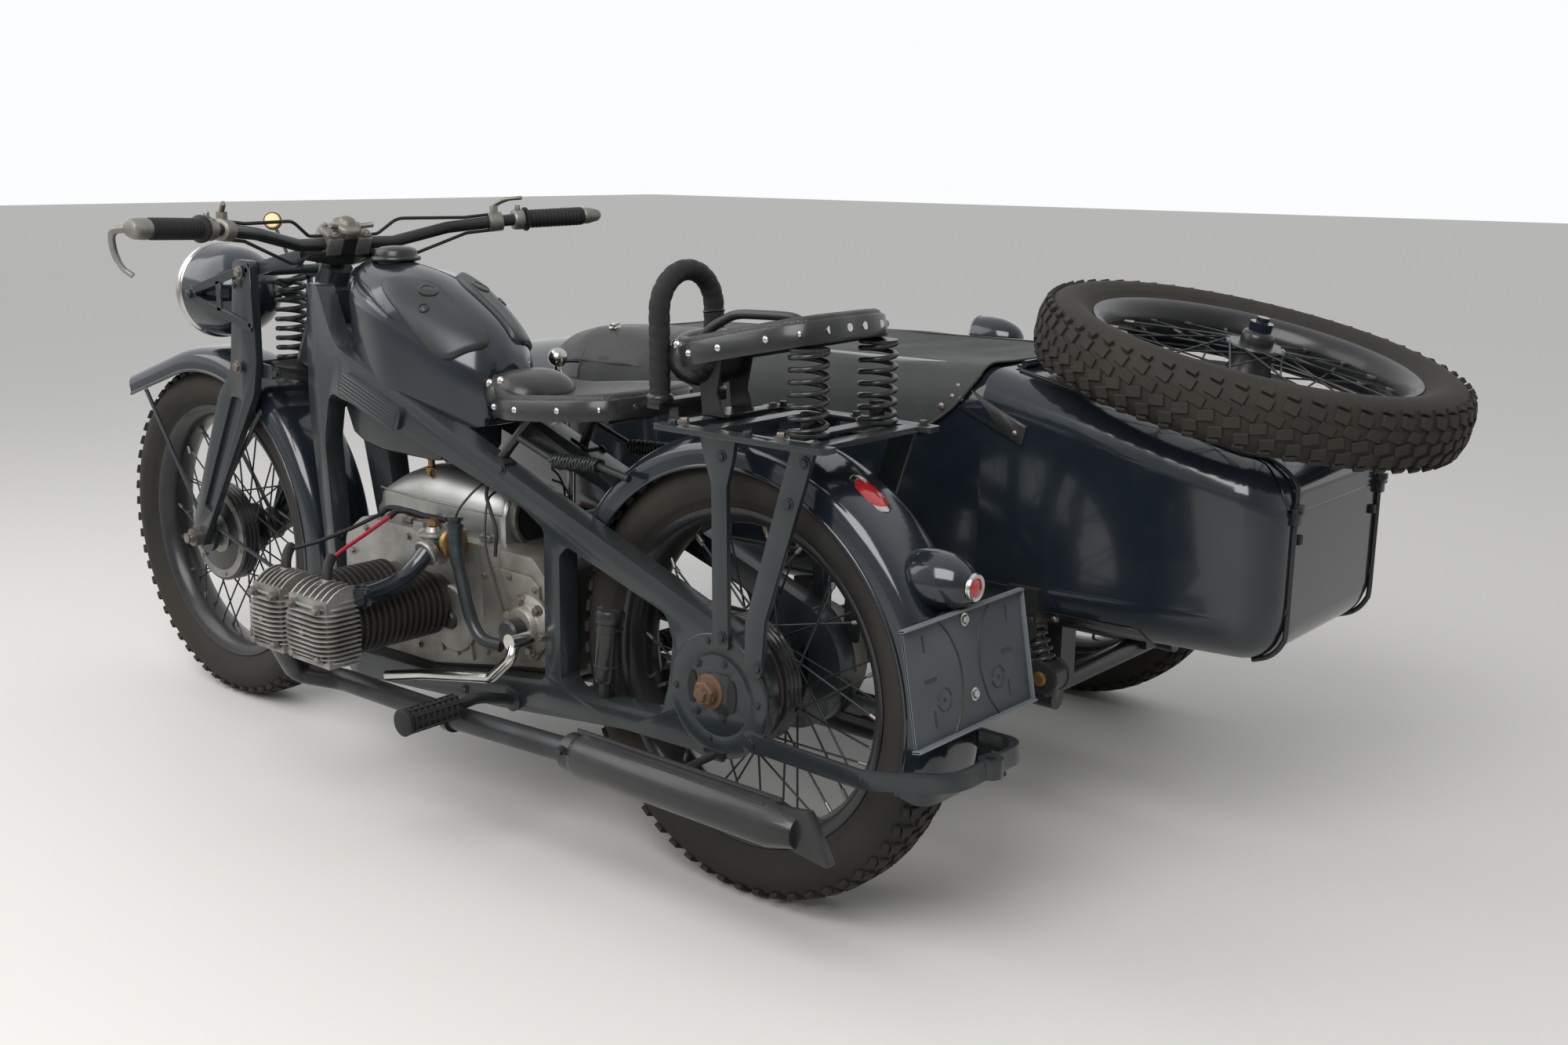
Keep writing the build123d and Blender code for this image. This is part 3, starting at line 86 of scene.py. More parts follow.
def new_group(name: str, result: str, **inputs: float) -> tuple[bpy.types.NodeTree, bpy.types.bpy_prop_collection]:
    """Starts a shader node group with a vector input, float inputs and one float output.

    Args:
        name: the group's name.
        result: the output's name.
        inputs: each float input's default value.

    Returns:
        The group, and the sockets that give its inputs.
    """
    group = bpy.data.node_groups.new(name, "ShaderNodeTree")
    group.interface.new_socket("Vector", in_out="INPUT", socket_type="NodeSocketVector").hide_value = True
    for label, value in inputs.items():
        group.interface.new_socket(label, in_out="INPUT", socket_type="NodeSocketFloat").default_value = value
    group.interface.new_socket(result, in_out="OUTPUT", socket_type="NodeSocketFloat")
    group.nodes.new("NodeGroupOutput").name = "Out"
    return group, group.nodes.new("NodeGroupInput").outputs


def close_group(group: bpy.types.NodeTree, value: bpy.types.NodeSocket) -> bpy.types.NodeTree:
    """Feeds a value to a group's output.

    Args:
        group: the node group.
        value: the socket that holds the result.

    Returns:
        The group.
    """
    group.links.new(value, group.nodes["Out"].inputs[0])
    return group


def add_node(tree: bpy.types.NodeTree, kind: str, links: dict[str, bpy.types.NodeSocket] | None = None,
             **values: object) -> bpy.types.Node:
    """Adds one node, sets its values and links its inputs.

    Args:
        tree: the node tree.
        kind: the node's type name.
        links: output sockets by the name of the input that they feed.
        values: node properties, or input defaults by name with underscores for spaces.

    Returns:
        The new node.
    """
    node = tree.nodes.new(kind)
    for key, value in values.items():
        if hasattr(node, key):
            setattr(node, key, value)
        else:
            node.inputs[key.replace("_", " ")].default_value = value
    for key, socket in (links or {}).items():
        tree.links.new(socket, node.inputs[int(key) if key.isdigit() else key])
    return node


def feed(tree: bpy.types.NodeTree, entry: bpy.types.NodeSocket, value: object) -> None:
    """Links a socket to a node's input, or sets a number or a colour as what the input holds."""
    if isinstance(value, bpy.types.NodeSocket):
        tree.links.new(value, entry)
    else:
        entry.default_value = (*value, 1.0) if isinstance(value, tuple) else value


def math_node(tree: bpy.types.NodeTree, operation: str, *values: object, clamp: bool = False) -> bpy.types.NodeSocket:
    """Adds a math node and returns its result.

    Args:
        tree: the node tree.
        operation: the math operation.
        values: its sockets or numbers.
        clamp: whether the result is kept from 0 to 1.

    Returns:
        The result socket.
    """
    node = add_node(tree, "ShaderNodeMath", operation=operation, use_clamp=clamp)
    for entry, value in zip(node.inputs, values):
        feed(tree, entry, value)
    return node.outputs[0]


class Effects:
    """The shared shader node groups, each built once."""

    def __init__(self) -> None:
        """Builds every group."""
        self.mottle = self._mottle()
        self.dust = self._dust()
        self.scuffs = self._scuffs()
        self.relief = {Bump.CAST: self._skin("Cast skin", 300.0, 4.0, 0.65), Bump.GRAIN: self._grain(),
                       Bump.WEAVE: self._weave(), Bump.RUBBER: self._skin("Rubber skin", 120.0, 7.0, 0.7)}

    @staticmethod
    def _noise(group: bpy.types.NodeTree, vector: bpy.types.NodeSocket, scale: object, detail: float,
               rough: float) -> bpy.types.NodeSocket:
        """Adds a noise texture whose scale is a socket and returns its value."""
        return add_node(group, "ShaderNodeTexNoise", {"Vector": vector, "Scale": scale}, Detail=detail,
                        Roughness=rough).outputs["Fac"]

    def _mottle(self) -> bpy.types.NodeTree:
        """Broad, soft variation of tone."""
        group, source = new_group("Mottle", "Mask", Scale=8.0, Contrast=1.0)
        noise = self._noise(group, source["Vector"], source["Scale"], 6.0, 0.6)
        scaled = math_node(group, "MULTIPLY", math_node(group, "SUBTRACT", noise, 0.5), source["Contrast"])
        return close_group(group, math_node(group, "ADD", scaled, 0.5, clamp=True))

    def _dust(self) -> bpy.types.NodeTree:
        """Dust that settles on faces that look up, broken by noise."""
        group, source = new_group("Dust", "Mask", Amount=0.3, Scale=14.0)
        normal = add_node(group, "ShaderNodeNewGeometry").outputs["Normal"]
        parts = add_node(group, "ShaderNodeSeparateXYZ", {"Vector": normal})
        up = math_node(group, "MULTIPLY_ADD", parts.outputs["Z"], 0.5, 0.5)
        noise = self._noise(group, source["Vector"], source["Scale"], 8.0, 0.7)
        broken = math_node(group, "MULTIPLY", math_node(group, "POWER", up, 2.0), noise)
        return close_group(group, math_node(group, "MULTIPLY", broken, source["Amount"], clamp=True))

    def _scuffs(self) -> bpy.types.NodeTree:
        """Fine, sparse scratches and chips."""
        group, source = new_group("Scuffs", "Mask", Scale=60.0, Amount=0.2)
        stretch = add_node(group, "ShaderNodeMapping", {"Vector": source["Vector"]}, Scale=(1.0, 0.35, 2.2),
                           Rotation=(0.4, 0.2, 0.6))
        noise = self._noise(group, stretch.outputs[0], source["Scale"], 10.0, 0.75)
        limit = math_node(group, "SUBTRACT", 0.86, math_node(group, "MULTIPLY", source["Amount"], 0.35))
        cut = math_node(group, "SUBTRACT", noise, limit)
        return close_group(group, math_node(group, "MULTIPLY", cut, 12.0, clamp=True))

    def _skin(self, name: str, scale: float, detail: float, rough: float) -> bpy.types.NodeTree:
        """The uneven skin of a casting or of rubber."""
        group, source = new_group(name, "Height", Scale=scale)
        return close_group(group, self._noise(group, source["Vector"], source["Scale"], detail, rough))

    @staticmethod
    def _grain() -> bpy.types.NodeTree:
        """Leather grain: small cells with creases between them."""
        group, source = new_group("Leather grain", "Height", Scale=220.0)
        cells = add_node(group, "ShaderNodeTexVoronoi", {"Vector": source["Vector"], "Scale": source["Scale"]},
                         feature="DISTANCE_TO_EDGE")
        fold = add_node(group, "ShaderNodeTexNoise", {"Vector": source["Vector"]}, Scale=35.0, Detail=5.0)
        edge = math_node(group, "MULTIPLY", cells.outputs["Distance"], 2.5, clamp=True)
        crease = math_node(group, "MULTIPLY", fold.outputs["Fac"], 1.4)
        return close_group(group, math_node(group, "ADD", edge, crease))

    @staticmethod
    def _weave() -> bpy.types.NodeTree:
        """Two crossing sets of threads."""
        group, source = new_group("Canvas weave", "Height", Scale=500.0)
        threads = [add_node(group, "ShaderNodeTexWave", {"Vector": source["Vector"], "Scale": source["Scale"]},
                            bands_direction=direction, Distortion=0.6, Detail=2.0).outputs["Fac"]
                   for direction in ("X", "Y")]
        return close_group(group, math_node(group, "MULTIPLY", *threads))


EFFECTS = Effects()
Colour = tuple[float, float, float]


@dataclass(frozen=True)
class Finish:
    """One surface finish, made into a material on first use.

    Attributes:
        name: the material's name.
        slot: the record's material slot that it stands for; not used.
        colour: the main colour.
        shade: the second colour of the mottle.
        metallic: 1 for bare metal.
        rough: the lowest and highest roughness.
        coat: the weight of a clear coat.
        dust: how much dust lies on it.
        dust_colour: the dust's colour.
        scuffs: how many chips it has.
        scuff_colour: what shows in a chip.
        mottle: the scale of the mottle.
        contrast: the strength of the mottle.
        bump: the close-up relief.
        bump_scale: the relief's scale.
        bump_depth: the relief's depth in metres.
        transmission: 1 for clear glass.
        specular: the strength of reflections.
    """

    name: str
    slot: str
    colour: Colour
    shade: Colour
    metallic: float = 0.0
    rough: tuple[float, float] = (0.3, 0.5)
    coat: float = 0.0
    dust: float = 0.2
    dust_colour: Colour = (0.30, 0.27, 0.23)
    scuffs: float = 0.1
    scuff_colour: Colour = (0.16, 0.15, 0.14)
    mottle: float = 9.0
    contrast: float = 2.0
    bump: Bump = Bump.NONE
    bump_scale: float = 200.0
    bump_depth: float = 0.0003
    transmission: float = 0.0
    specular: float = 0.5

    def material(self) -> bpy.types.Material:
        """The finish's material, built once.

        Returns:
            The material.
        """
        found = bpy.data.materials.get(self.name)
        return found if found else self._build()

    def _build(self) -> bpy.types.Material:
        """Builds the material's nodes.

        Returns:
            The new material.
        """
        material = bpy.data.materials.new(self.name)
        material.use_nodes = True
        tree = material.node_tree
        shader = tree.nodes["Principled BSDF"]
        place = tree.nodes.new("ShaderNodeTexCoord").outputs["Object"]
        mottle = self._effect(tree, EFFECTS.mottle, place, Scale=self.mottle, Contrast=self.contrast)
        dust = self._effect(tree, EFFECTS.dust, place, Amount=self.dust, Scale=14.0)
        chips = self._effect(tree, EFFECTS.scuffs, place, Scale=60.0, Amount=self.scuffs)
        base = self._mix(tree, mottle, self.colour, self.shade)
        chipped = self._mix(tree, chips, base, self.scuff_colour)
        dusty = self._mix(tree, dust, chipped, self.dust_colour)
        tree.links.new(dusty, shader.inputs["Base Color"])
        low, high = self.rough
        rough = math_node(tree, "MULTIPLY_ADD", mottle, high - low, low)
        dull = math_node(tree, "ADD", rough, math_node(tree, "MULTIPLY", dust, 0.45), clamp=True)
        tree.links.new(dull, shader.inputs["Roughness"])
        shader.inputs["Metallic"].default_value = self.metallic
        shader.inputs["Coat Weight"].default_value = self.coat
        shader.inputs["Coat Roughness"].default_value = 0.06
        shader.inputs["Transmission Weight"].default_value = self.transmission
        shader.inputs["Specular IOR Level"].default_value = self.specular
        if self.bump is not Bump.NONE:
            height = self._effect(tree, EFFECTS.relief[self.bump], place, Scale=self.bump_scale)
            relief = add_node(tree, "ShaderNodeBump", {"Height": height}, Strength=1.0, Distance=self.bump_depth)
            tree.links.new(relief.outputs["Normal"], shader.inputs["Normal"])
        return material

    @staticmethod
    def _effect(tree: bpy.types.NodeTree, group: bpy.types.NodeTree, place: bpy.types.NodeSocket,
                **values: float) -> bpy.types.NodeSocket:
        """Places one shared group and returns its first output."""
        return add_node(tree, "ShaderNodeGroup", {"Vector": place}, node_tree=group, **values).outputs[0]

    @staticmethod
    def _mix(tree: bpy.types.NodeTree, mask: bpy.types.NodeSocket, under: object,
             over: object) -> bpy.types.NodeSocket:
        """Mixes two colours by a mask and returns the result."""
        node = add_node(tree, "ShaderNodeMix", {"Factor": mask}, data_type="RGBA")
        for label, value in (("A", under), ("B", over)):
            feed(tree, next(s for s in node.inputs if s.name == label and s.type == "RGBA"), value)
        return next(s for s in node.outputs if s.type == "RGBA")


BODY_ENAMEL = Finish("Body enamel", "body_paint", (0.005, 0.009, 0.014), (0.009, 0.014, 0.020), rough=(0.10, 0.20),
                     coat=0.35, dust=0.05, scuffs=0.05, specular=0.45)
FRAME_ENAMEL = Finish("Frame enamel", "frame_paint", (0.018, 0.025, 0.028), (0.009, 0.012, 0.014), rough=(0.20, 0.38),
                      coat=0.2, dust=0.08, scuffs=0.3, specular=0.35)
DARK_ENAMEL = Finish("Black enamel", "frame_paint", (0.007, 0.008, 0.009), (0.013, 0.014, 0.015), rough=(0.20, 0.42),
                     coat=0.15, dust=0.10, scuffs=0.2, specular=0.35)
CAST_ALLOY = Finish("Cast alloy", "alloy", (0.38, 0.375, 0.355), (0.13, 0.12, 0.095), metallic=0.85,
                    rough=(0.34, 0.55), dust=0.25, dust_colour=(0.16, 0.12, 0.07), scuffs=0.1, mottle=7.0,
                    contrast=2.6, bump=Bump.CAST, bump_scale=420.0, bump_depth=0.0004)
COVER_ALLOY = Finish("Cover alloy", "alloy", (0.47, 0.475, 0.465), (0.25, 0.245, 0.225), metallic=0.9,
                     rough=(0.26, 0.44), dust=0.12, dust_colour=(0.20, 0.16, 0.10), mottle=6.0, contrast=1.8,
                     bump=Bump.CAST, bump_scale=300.0, bump_depth=0.0002)
FIN_ALLOY = Finish("Fin alloy", "alloy", (0.44, 0.435, 0.41), (0.14, 0.135, 0.12), metallic=0.8, rough=(0.38, 0.6),
                   dust=0.2, dust_colour=(0.10, 0.085, 0.06), mottle=16.0, contrast=2.4, bump=Bump.CAST,
                   bump_scale=380.0, bump_depth=0.0004)
BARREL_IRON = Finish("Barrel iron", "iron", (0.055, 0.054, 0.052), (0.022, 0.021, 0.020), metallic=0.6,
                     rough=(0.42, 0.65), dust=0.25, mottle=12.0, bump=Bump.CAST, bump_scale=300.0)
BARE_STEEL = Finish("Bare steel", "steel", (0.30, 0.29, 0.27), (0.13, 0.10, 0.075), metallic=0.9, rough=(0.28, 0.55),
                    dust=0.15, mottle=20.0)
DARK_STEEL = Finish("Dark steel", "steel", (0.030, 0.033, 0.036), (0.012, 0.013, 0.014), metallic=0.3,
                    rough=(0.28, 0.45), dust=0.08, mottle=14.0, specular=0.35)
RUSTY_STEEL = Finish("Rusty steel", "steel", (0.16, 0.085, 0.045), (0.06, 0.035, 0.022), metallic=0.3,
                     rough=(0.6, 0.85), dust=0.2, mottle=40.0, bump=Bump.CAST, bump_scale=500.0, bump_depth=0.0005)
BRIGHT_METAL = Finish("Bright metal", "bright", (0.62, 0.61, 0.59), (0.42, 0.41, 0.38), metallic=1.0,
                      rough=(0.10, 0.26), dust=0.05, scuffs=0.0, mottle=18.0)
BLACK_RUBBER = Finish("Black rubber", "rubber", (0.009, 0.009, 0.010), (0.016, 0.016, 0.017), rough=(0.5, 0.7),
                      dust=0.05, specular=0.25, scuffs=0.0, bump=Bump.RUBBER, bump_depth=0.0002)
KNEE_RUBBER = Finish("Knee rubber", "rubber", (0.026, 0.033, 0.034), (0.016, 0.020, 0.021), rough=(0.26, 0.4),
                     dust=0.06, specular=0.35, scuffs=0.05, mottle=5.0, bump=Bump.RUBBER, bump_scale=260.0,
                     bump_depth=0.0001)
TYRE_RUBBER = Finish("Tyre rubber", "tread", (0.016, 0.016, 0.015), (0.034, 0.029, 0.023), rough=(0.6, 0.8), dust=0.12,
                     dust_colour=(0.11, 0.09, 0.07), specular=0.2, scuffs=0.0, mottle=6.0, contrast=2.5,
                     bump=Bump.RUBBER, bump_scale=90.0, bump_depth=0.0003)
SEAT_LEATHER = Finish("Saddle leather", "leather", (0.010, 0.010, 0.010), (0.022, 0.020, 0.018), rough=(0.24, 0.45),
                      dust=0.06, specular=0.4, scuffs=0.12, scuff_colour=(0.10, 0.075, 0.055), mottle=10.0,
                      bump=Bump.GRAIN, bump_scale=260.0, bump_depth=0.0004)
COVER_CANVAS = Finish("Tonneau canvas", "canvas", (0.046, 0.050, 0.047), (0.022, 0.025, 0.024), rough=(0.42, 0.62),
                      dust=0.12, dust_colour=(0.20, 0.19, 0.17), specular=0.3, scuffs=0.0, mottle=5.0, contrast=2.2,
                      bump=Bump.WEAVE, bump_scale=650.0, bump_depth=0.00025)
HANDLE_TAPE = Finish("Handle tape", "tape", (0.014, 0.015, 0.014), (0.008, 0.009, 0.009), rough=(0.4, 0.6), dust=0.05,
                     specular=0.25, scuffs=0.05, bump=Bump.WEAVE, bump_scale=900.0, bump_depth=0.0002)
PLATE_PAINT = Finish("Plate paint", "plate_grey", (0.145, 0.162, 0.178), (0.10, 0.112, 0.124), rough=(0.3, 0.5),
                     dust=0.1, specular=0.35, scuffs=0.3, scuff_colour=(0.10, 0.09, 0.08))
CLEAR_GLASS = Finish("Lamp glass", "clear_glass", (0.92, 0.94, 0.95), (0.86, 0.89, 0.90), rough=(0.03, 0.08),
                     dust=0.03, scuffs=0.0, transmission=0.92)
RED_LENS = Finish("Red lens", "red_glass", (0.38, 0.010, 0.012), (0.26, 0.006, 0.010), rough=(0.08, 0.16), coat=0.8,
                  dust=0.04, scuffs=0.0)
RED_ENAMEL = Finish("Red enamel", "red_glass", (0.42, 0.012, 0.016), (0.32, 0.010, 0.012), rough=(0.12, 0.22),
                    coat=0.7, dust=0.05, scuffs=0.0)
AMBER = Finish("Amber disc", "red_glass", (0.78, 0.42, 0.06), (0.62, 0.30, 0.04), rough=(0.1, 0.2), coat=0.6, dust=0.0,
               scuffs=0.0)
RED_CABLE = Finish("Red lead", "red_glass", (0.42, 0.006, 0.030), (0.30, 0.005, 0.020), rough=(0.3, 0.4), dust=0.05,
                   scuffs=0.0)
BRASS = Finish("Tarnished brass", "steel", (0.36, 0.22, 0.08), (0.18, 0.10, 0.045), metallic=0.9, rough=(0.3, 0.5),
               dust=0.1, mottle=30.0)

# The finish of every node of the frame
NODE_FINISH = {node: finish for finish, nodes in (
    (FRAME_ENAMEL, "frame_sides steering_head rear_bar carrier fork_blades"),
    (DARK_ENAMEL, "cross_tubes filler_cap silencers pillion_springs saddle_frame tyre_pump sidecar_chassis "
     "side_axle fork_stem handlebar front_wheel_rim rear_wheel_rim side_wheel_rim spare_wheel_rim"),
    (BODY_ENAMEL, "fuel_tank rear_mudguard tail_lamp sidecar_tail sidecar_tub sidecar_nose side_mudguard side_lamp "
     "front_mudguard headlamp boot_lid"),
    (KNEE_RUBBER, "knee_pads"),
    (CAST_ALLOY, "engine_case final_drive hand_levers"),
    (COVER_ALLOY, "top_cover"),
    (BARREL_IRON, "barrels"),
    (FIN_ALLOY, "cylinder_heads"),
    (DARK_STEEL, "intake_pipes exhaust_pipes fork_spring"),
    (BRIGHT_METAL, "foot_controls"),
    (BLACK_RUBBER, "footrests bar_cables engine_cable grips"),
    (RUSTY_STEEL, "rear_axle"),
    (RED_LENS, "tail_lens"),
    (PLATE_PAINT, "number_plate"),
    (SEAT_LEATHER, "pillion_saddle rider_saddle"),
    (HANDLE_TAPE, "grab_handle"),
    (RED_CABLE, "plug_leads"),
    (COVER_CANVAS, "tonneau_cover"),
    (BARE_STEEL, "front_axle"),
    (CLEAR_GLASS, "headlamp_lens"),
    (TYRE_RUBBER, "front_tyre rear_tyre side_tyre spare_tyre"),
) for node in nodes.split()}
BODY_OF = {node: body for body, nodes in frame["record"]["behaviour"]["bodies"].items() for node in nodes}
Point = Sequence[float]
SCALE = Matrix.Diagonal((MM, MM, MM, 1.0))
BIKE = Matrix.Translation(at(0.0, 0.0, 0.0)) @ SCALE
AHEAD, LEFT, UP = (1, 0, 0), (0, 1, 0), (0, 0, 1)
# Places that many pieces share, in millimetres
WHEELBASE = 1405
AXLE_Z = 342
SIDECAR_Y = -678
SIDE_WHEEL_Y = -1155
FORK_RAKE = 27


def spread(count: int, turn: float = 360.0) -> list[float]:
    """Cuts a turn into equal parts.

    Args:
        count: the number of parts.
        turn: the whole turn in degrees; the end of a full one isn't repeated.

    Returns:
        The angles in radians.
    """
    return [math.radians(turn) * n / count for n in range(count + (turn < 360.0))]


def between(first: Sequence[float], second: Sequence[float], part: float) -> list[float]:
    """The row of numbers that lies part of the way from one row to another."""
    return [a + (b - a) * part for a, b in zip(first, second)]


def smooth_path(points: Sequence[Point], steps: int = 8) -> list[Vector]:
    """Runs a Catmull-Rom curve through points.

    Args:
        points: the points, in millimetres.
        steps: the parts that each span is cut into.

    Returns:
        The points of the curve.
    """
    knots = [Vector(point) for point in points]
    knots = [2 * knots[0] - knots[1], *knots, 2 * knots[-1] - knots[-2]]
    path = []
    for a, b, c, d in zip(knots, knots[1:], knots[2:], knots[3:]):
        for step in range(steps):
            t = step / steps
            path.append(0.5 * (2 * b + (c - a) * t + (2 * a - 5 * b + 4 * c - d) * t * t
                               + (3 * b - a - 3 * c + d) * t ** 3))
    return [*path, knots[-2]]


def curved(points: Sequence[tuple[float, float]], steps: int = 5) -> list[tuple[float, float]]:
    """Runs a smooth curve through the points of a flat outline."""
    return [(p.x, p.y) for p in smooth_path([(*point, 0) for point in points], steps)]


def placed(name: str, data: bpy.types.ID) -> bpy.types.Object:
    """Adds an object to the scene."""
    thing = bpy.data.objects.new(name, data)
    bpy.context.scene.collection.objects.link(thing)
    return thing


class Form:
    """A mesh under construction, drawn in millimetres and placed in the row frame."""

    def __init__(self, place: Matrix = BIKE) -> None:
        """Starts an empty form.

        Args:
            place: the matrix from the drawing's millimetres to the row frame.
        """
        self.place = place
        self.shape = bmesh.new()

    def skin(self, rings: Sequence[Sequence[Point]], closed: bool = True, caps: bool = True) -> None:
        """Lays quads over rows of points.

        Args:
            rings: the rows, all of one length.
            closed: whether each row closes on itself.
            caps: whether the ends of closed rows are filled.
        """
        rows, count = len(rings), len(rings[0])
        across = count if closed else count - 1
        made = bmesh.ops.create_grid(self.shape, x_segments=rows - 1, y_segments=across, size=1.0)["verts"]
        for vert in made:
            row, column = round((vert.co.x + 1) / 2 * (rows - 1)), round((vert.co.y + 1) / 2 * across) % count
            vert.co = self.place @ Vector(rings[row][column])
        if closed:
            bmesh.ops.remove_doubles(self.shape, verts=made, dist=1e-7)
            if caps:
                rims = {edge for vert in made if vert.is_valid for edge in vert.link_edges if edge.is_boundary}
                bmesh.ops.holes_fill(self.shape, edges=list(rims), sides=0)

    def sweep(self, path: Sequence[Point], radius: float | Sequence[float], sides: int = 12) -> None:
        """Runs a round section along a path.

        Args:
            path: the points of the centre line.
            radius: one radius, or one for each point.
            sides: the section's corners.
        """
        line = [Vector(point) for point in path]
        radii = [radius] * len(line) if isinstance(radius, (int, float)) else radius
        runs = [(b - a).normalized() for a, b in zip(line, line[1:])]
        ahead = [runs[0], *((a + b).normalized() for a, b in zip(runs, runs[1:])), runs[-1]]
        side = ahead[0].orthogonal().normalized()
        rings = []
        for centre, direction, width in zip(line, ahead, radii):
            side = (side - direction * side.dot(direction)).normalized()
            other = direction.cross(side)
            rings.append([centre + (side * math.cos(k) + other * math.sin(k)) * width for k in spread(sides)])
        self.skin(rings)

    def turn(self, profile: Sequence[Point], origin: Point, axis: Point, sides: int = 32) -> None:
        """Turns a profile about an axis.

        Args:
            profile: rows of radius and distance along the axis.
            origin: where the distance is zero.
            axis: the axis's direction.
            sides: the corners of the round.
        """
        axis = Vector(axis).normalized()
        first = axis.orthogonal().normalized()
        second = axis.cross(first)
        angles = spread(sides)
        self.skin([[Vector(origin) + axis * along + (first * math.cos(k) + second * math.sin(k)) * max(radius, 0.01)
                    for k in angles] for radius, along in profile])

    def hoop(self, section: Sequence[Point], start: float = 0.0, end: float = 360.0, steps: int = 96,
             tip: float = 0.0) -> None:
        """Carries a closed section of (radius, y) round the Y axis.

        Args:
            section: rows of radius and y.
            start: the first angle in degrees from +X towards +Z.
            end: the last angle.
            steps: the parts of the arc.
            tip: a straight run before the first angle.
        """
        rings = []
        for step in range(steps + 1):
            k = math.radians(start + (end - start) * step / steps)
            rings.append([Vector((r * math.cos(k), y, r * math.sin(k))) for r, y in section])
        if tip:
            k = math.radians(start)
            ahead = Vector((math.sin(k), 0, -math.cos(k)))
            rings = [[point + ahead * tip * part / 4 for point in rings[0]] for part in (4, 3, 2, 1)] + rings
        whole = abs(end - start) > 359.9
        self.skin(rings, caps=not whole)
        if whole:
            bmesh.ops.remove_doubles(self.shape, verts=self.shape.verts[:], dist=1e-7)

    def rod(self, start: Point, end: Point, radius: float, sides: int = 24) -> None:
        """Adds a straight round bar."""
        self.sweep([start, end], radius, sides)

    def plate(self, outline: Sequence[tuple[float, float]], low: float, high: float) -> None:
        """Adds a plate standing in the XZ plane from y low to y high."""
        self.skin([[(x, y, z) for x, z in outline] for y in (low, high)])

    def box(self, size: Point, centre: Point, turn: Point = (0.0, 0.0, 0.0)) -> None:
        """Adds a block of a size about its centre, turned by degrees about X, Y and Z."""
        spin = Euler([math.radians(angle) for angle in turn]).to_matrix().to_4x4()
        matrix = self.place @ Matrix.Translation(centre) @ spin @ Matrix.Diagonal((*size, 1.0))
        bmesh.ops.create_cube(self.shape, size=1.0, matrix=matrix)

    def bolt(self, place: Point, axis: Point, radius: float = 7.0, height: float = 6.0, washer: bool = True) -> None:
        """Adds a hexagon head, on a washer unless told not to."""
        if washer:
            self.turn([(radius * 1.4, -1.0), (radius * 1.4, 1.2), (radius, 1.6)], place, axis, 20)
        self.turn([(radius, 0.0), (radius, height * 0.8), (radius * 0.86, height)], place, axis, 6)

    def dome(self, place: Point, axis: Point, radius: float, height: float, sides: int = 16) -> None:
        """Adds a round-headed rivet."""
        profile = ((1.0, 0.1), (0.9, 0.45), (0.66, 0.78), (0.34, 0.95), (0.0, 1.0))
        self.turn([(radius, -0.6), *((radius * r, height * h) for r, h in profile)], place, axis, sides)

    def both_sides(self) -> Form:
        """Adds the mirror image on the other side of the machine.

        Returns:
            The form.
        """
        whole = [*self.shape.verts, *self.shape.edges, *self.shape.faces]
        twin = bmesh.ops.duplicate(self.shape, geom=whole)["geom"]
        faces = [item for item in twin if isinstance(item, bmesh.types.BMFace)]
        for item in twin:
            if isinstance(item, bmesh.types.BMVert):
                item.co.y = 2 * REAR_AXLE.y - item.co.y
        bmesh.ops.reverse_faces(self.shape, faces=faces)
        return self

    def build(self, name: str, finish: Finish, body: str = "chassis", replaces: Sequence[str] = (),
              angle: float = 40.0, bevel: float = 0.0, segments: int = 2) -> bpy.types.Object:
        """Turns the form into an object.

        Args:
            name: the object's name.
            finish: its finish.
            body: the body it rides on.
            replaces: the nodes that it stands for.
            angle: edges sharper than this stay sharp, or are rounded.
            bevel: the rounding's width in millimetres.
            segments: the rounding's parts.

        Returns:
            The new object.
        """
        limit = math.radians(angle)
        bmesh.ops.recalc_face_normals(self.shape, faces=self.shape.faces[:])
        if bevel:
            edges = [e for e in self.shape.edges if len(e.link_faces) == 2 and e.calc_face_angle(0.0) > limit]
            bmesh.ops.bevel(self.shape, geom=edges, offset=bevel * MM, segments=segments, affect="EDGES", profile=0.5,
                            clamp_overlap=True, material=-1)
        for face in self.shape.faces:
            face.smooth = True
        for edge in self.shape.edges:
            edge.smooth = len(edge.link_faces) != 2 or edge.calc_face_angle(0.0) < limit
        mesh = bpy.data.meshes.new(name)
        self.shape.to_mesh(mesh)
        self.shape.free()
        mesh.materials.append(finish.material())
        piece = placed(name, mesh)
        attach(piece, body)
        if replaces:
            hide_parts(*replaces)
        LOG.info("%s: %d faces", name, len(mesh.polygons))
        return piece


def copied(node: str, flat: float) -> Form:
    """Copies a node's mesh into a form and joins its flat faces.

    Args:
        node: the node's name.
        flat: the degrees under which two faces count as one.

    Returns:
        The form.
    """
    source = frame["nodes"][node]
    form = Form()
    form.shape.from_mesh(source.data)
    form.shape.transform(source.matrix_world)
    bmesh.ops.remove_doubles(form.shape, verts=form.shape.verts[:], dist=1e-5)
    bmesh.ops.dissolve_limit(form.shape, angle_limit=math.radians(flat), verts=form.shape.verts[:],
                             edges=form.shape.edges[:])
    return form


def softened(node: str, bevel: float, angle: float = 35.0) -> None:
    """Stands a copy of a node in for it, with its sharp edges rounded.

    Args:
        node: the node's name.
        bevel: the rounding's width in millimetres.
        angle: edges sharper than these degrees are rounded, and the others are shaded smooth.
    """
    copied(node, 1.5).build(f"{node}_dressed", NODE_FINISH[node], BODY_OF[node], (node,), angle, bevel)


